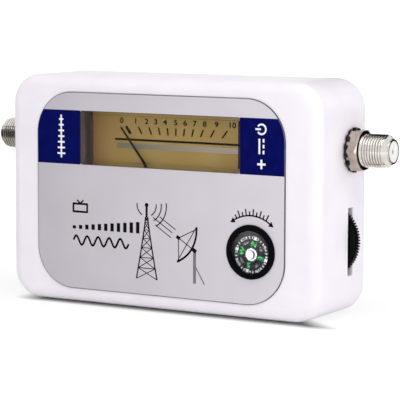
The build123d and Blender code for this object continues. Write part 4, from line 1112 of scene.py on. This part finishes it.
floor_tree.links.new(
    arithmetic(floor_tree, "Math", "MULTIPLY", floor_right, floor_back), floor_shift.inputs["X"]
)
floor_away = arithmetic(floor_tree, "VectorMath", "ADD", floor_place, floor_shift.outputs[0])
floor_away = vector_step(floor_tree, "ABSOLUTE", floor_away, (0, 0, 0))
floor_away = vector_step(
    floor_tree, "SUBTRACT", floor_away, (foot_half_width, foot_half_depth, 0)
)
floor_away = vector_step(floor_tree, "MULTIPLY", floor_away, (end_stretch, 1, 1))
floor_away = vector_step(floor_tree, "MAXIMUM", floor_away, (0, 0, 0))
floor_away = vector_step(floor_tree, "LENGTH", floor_away, (0, 0, 0))
floor_lift = arithmetic(
    floor_tree, "Math", "ADD",
    graded(floor_tree, floor_away, 0.0, edge_lift, *edge_fade),
    graded(floor_tree, floor_away, 0.0, far_lift, *far_fade),
)
floor_glow = add_node(floor_tree, "Emission")
floor_tree.links.new(
    arithmetic(floor_tree, "Math", "MULTIPLY", floor_lift, floor_direct),
    floor_glow.inputs["Strength"],
)
floor_sum = add_node(floor_tree, "AddShader")
floor_tree.links.new(floor_shader.outputs["BSDF"], floor_sum.inputs[0])
floor_tree.links.new(floor_glow.outputs["Emission"], floor_sum.inputs[1])
floor_tree.links.new(
    floor_sum.outputs["Shader"], floor_tree.nodes["Material Output"].inputs["Surface"]
)
floor_mesh.materials.append(floor_finish)

# Studio room: even light from all round at a plain level, and white where the camera sees it.
# A soft lamp stands above, one at the right, one near the right front corner and one low in
# front. A small one near the face lights only the lens of the compass.
room_level = 0.47
world = bpy.data.worlds.new("studio_room")
bpy.context.scene.world = world
world.use_nodes = True
room = world.node_tree.nodes["Background"]
world.node_tree.links.new(
    graded(world.node_tree, seen_directly(world.node_tree), room_level, 1.0, 0.0, 1.0),
    room.inputs["Strength"],
)
room.inputs["Color"].default_value = (1.0, 1.0, 1.0, 1.0)

object_middle = Vector((0.0, 0.0, 0.033))
face_foot = Vector((0.0, -0.015, 0.01))
compass_middle = Vector((0.0305, -0.016, 0.019))


def soft_lamp(name, place, size, power, target=object_middle):
    """Square lamp that faces its target, and that the camera doesn't see."""
    lamp = bpy.data.lights.new(name, "AREA")
    lamp.shape = "SQUARE"
    lamp.size = size
    lamp.energy = power
    holder = bpy.data.objects.new(name, lamp)
    holder.location = place
    holder.rotation_euler = (target - Vector(place)).to_track_quat("-Z", "Y").to_euler()
    holder.visible_camera = False
    bpy.context.scene.collection.objects.link(holder)
    return holder


soft_lamp("top_lamp", place=(0.12, -0.25, 0.9), size=0.7, power=4.3)
soft_lamp("side_lamp", place=(0.5, 0.15, 0.08), size=0.3, power=0.95)
corner_lamp = soft_lamp("corner_lamp", place=(0.19, -0.17, 0.12), size=0.12, power=0.07)
corner_lamp.visible_glossy = False
front_lamp = soft_lamp("front_lamp", place=(0.05, -0.45, 0.02), size=0.2, power=0.52, target=face_foot)
front_lamp.visible_glossy = False
lens_lamp = soft_lamp(
    "low_lamp", place=(-0.0307, -0.1188, 0.0225), size=0.022, power=0.05, target=compass_middle
)
lens_lamp.data.shape = "RECTANGLE"
lens_lamp.data.size_y = 0.009
lit_by_lens_lamp = bpy.data.collections.new("lit_by_low_lamp")
lit_by_lens_lamp.objects.link(lens_piece)
lens_lamp.light_linking.receiver_collection = lit_by_lens_lamp
lens_lamp.visible_diffuse = False
lens_lamp.visible_transmission = False

# Studio cards: five black boards and a grey one round the object, which only shiny metal and
# gloss can see. They give the nickel its dark and grey bands.


def studio_card(name, corners, finish=black_ink):
    """Board that only shiny metal and gloss can see, as beside a product in a studio."""
    mesh = bpy.data.meshes.new(name)
    mesh.from_pydata(corners, [], [tuple(range(len(corners)))])
    mesh.materials.append(finish)
    card = bpy.data.objects.new(name, mesh)
    bpy.context.scene.collection.objects.link(card)
    card.visible_camera = False
    card.visible_diffuse = False
    card.visible_transmission = False
    card.visible_shadow = False


front_card_y = -0.05


def front_card(name, outline):
    """Upright board in front of the face, given by its places along X and Z."""
    studio_card(name, [(x, front_card_y, z) for x, z in outline])


studio_card(
    "studio_card_above",
    [(0.028, 0.045, 0.064), (0.066, 0.045, 0.064), (0.066, 0.014, 0.092), (0.028, 0.014, 0.092)],
)
front_card(
    "studio_card_left", [(-0.108, 0.022), (-0.077, 0.022), (-0.077, 0.063), (-0.108, 0.063)]
)
front_card(
    "studio_card_left_above", [(-0.13, 0.099), (-0.08, 0.099), (-0.08, 0.114), (-0.13, 0.114)]
)
front_card(
    "studio_card_left_end",
    [(-0.125, 0.005), (-0.0962, 0.005), (-0.0962, 0.055), (-0.1017, 0.08), (-0.125, 0.08)],
)
grey_card, _, _ = mottled(
    "grey_card", paint(176, 177, 165), paint(188, 189, 177), rough=(0.5, 0.6), patch=9.0,
    pore=0.5, depth=0.002, gloss=0.1,
)
studio_card(
    "studio_card_left_low",
    [(-0.13, -0.055, 0.01), (-0.075, -0.055, 0.01), (-0.075, 0.03, 0.01), (-0.13, 0.03, 0.01)],
    grey_card,
)
studio_card(
    "studio_card_side",
    [(0.06, 0.22, -0.03), (0.3, 0.1, -0.03), (0.3, 0.1, 0.1), (0.06, 0.22, 0.1)],
)

# Camera: long lens at the photograph's place, a little above the face and to its right.
# Its place, turn, tilt and lens were fitted to the edges of the case in the photograph.
camera_place = Vector((0.29564, -0.48648, 0.09424))
camera_turn = math.radians(30.85)
camera_tilt = math.radians(90 - 6.42)
camera_roll = math.radians(0.09)
sensor_width = 36.0
focal_length = 178.52
camera_data = bpy.data.cameras.new("camera")
camera_data.sensor_width = sensor_width
camera_data.lens = focal_length
camera = bpy.data.objects.new("camera", camera_data)
camera.matrix_world = (
    Matrix.Translation(camera_place)
    @ Matrix.Rotation(camera_turn, 4, "Z")
    @ Matrix.Rotation(camera_tilt, 4, "X")
    @ Matrix.Rotation(camera_roll, 4, "Z")
)
bpy.context.scene.collection.objects.link(camera)
bpy.context.scene.camera = camera
bpy.context.scene.view_settings.view_transform = "Standard"
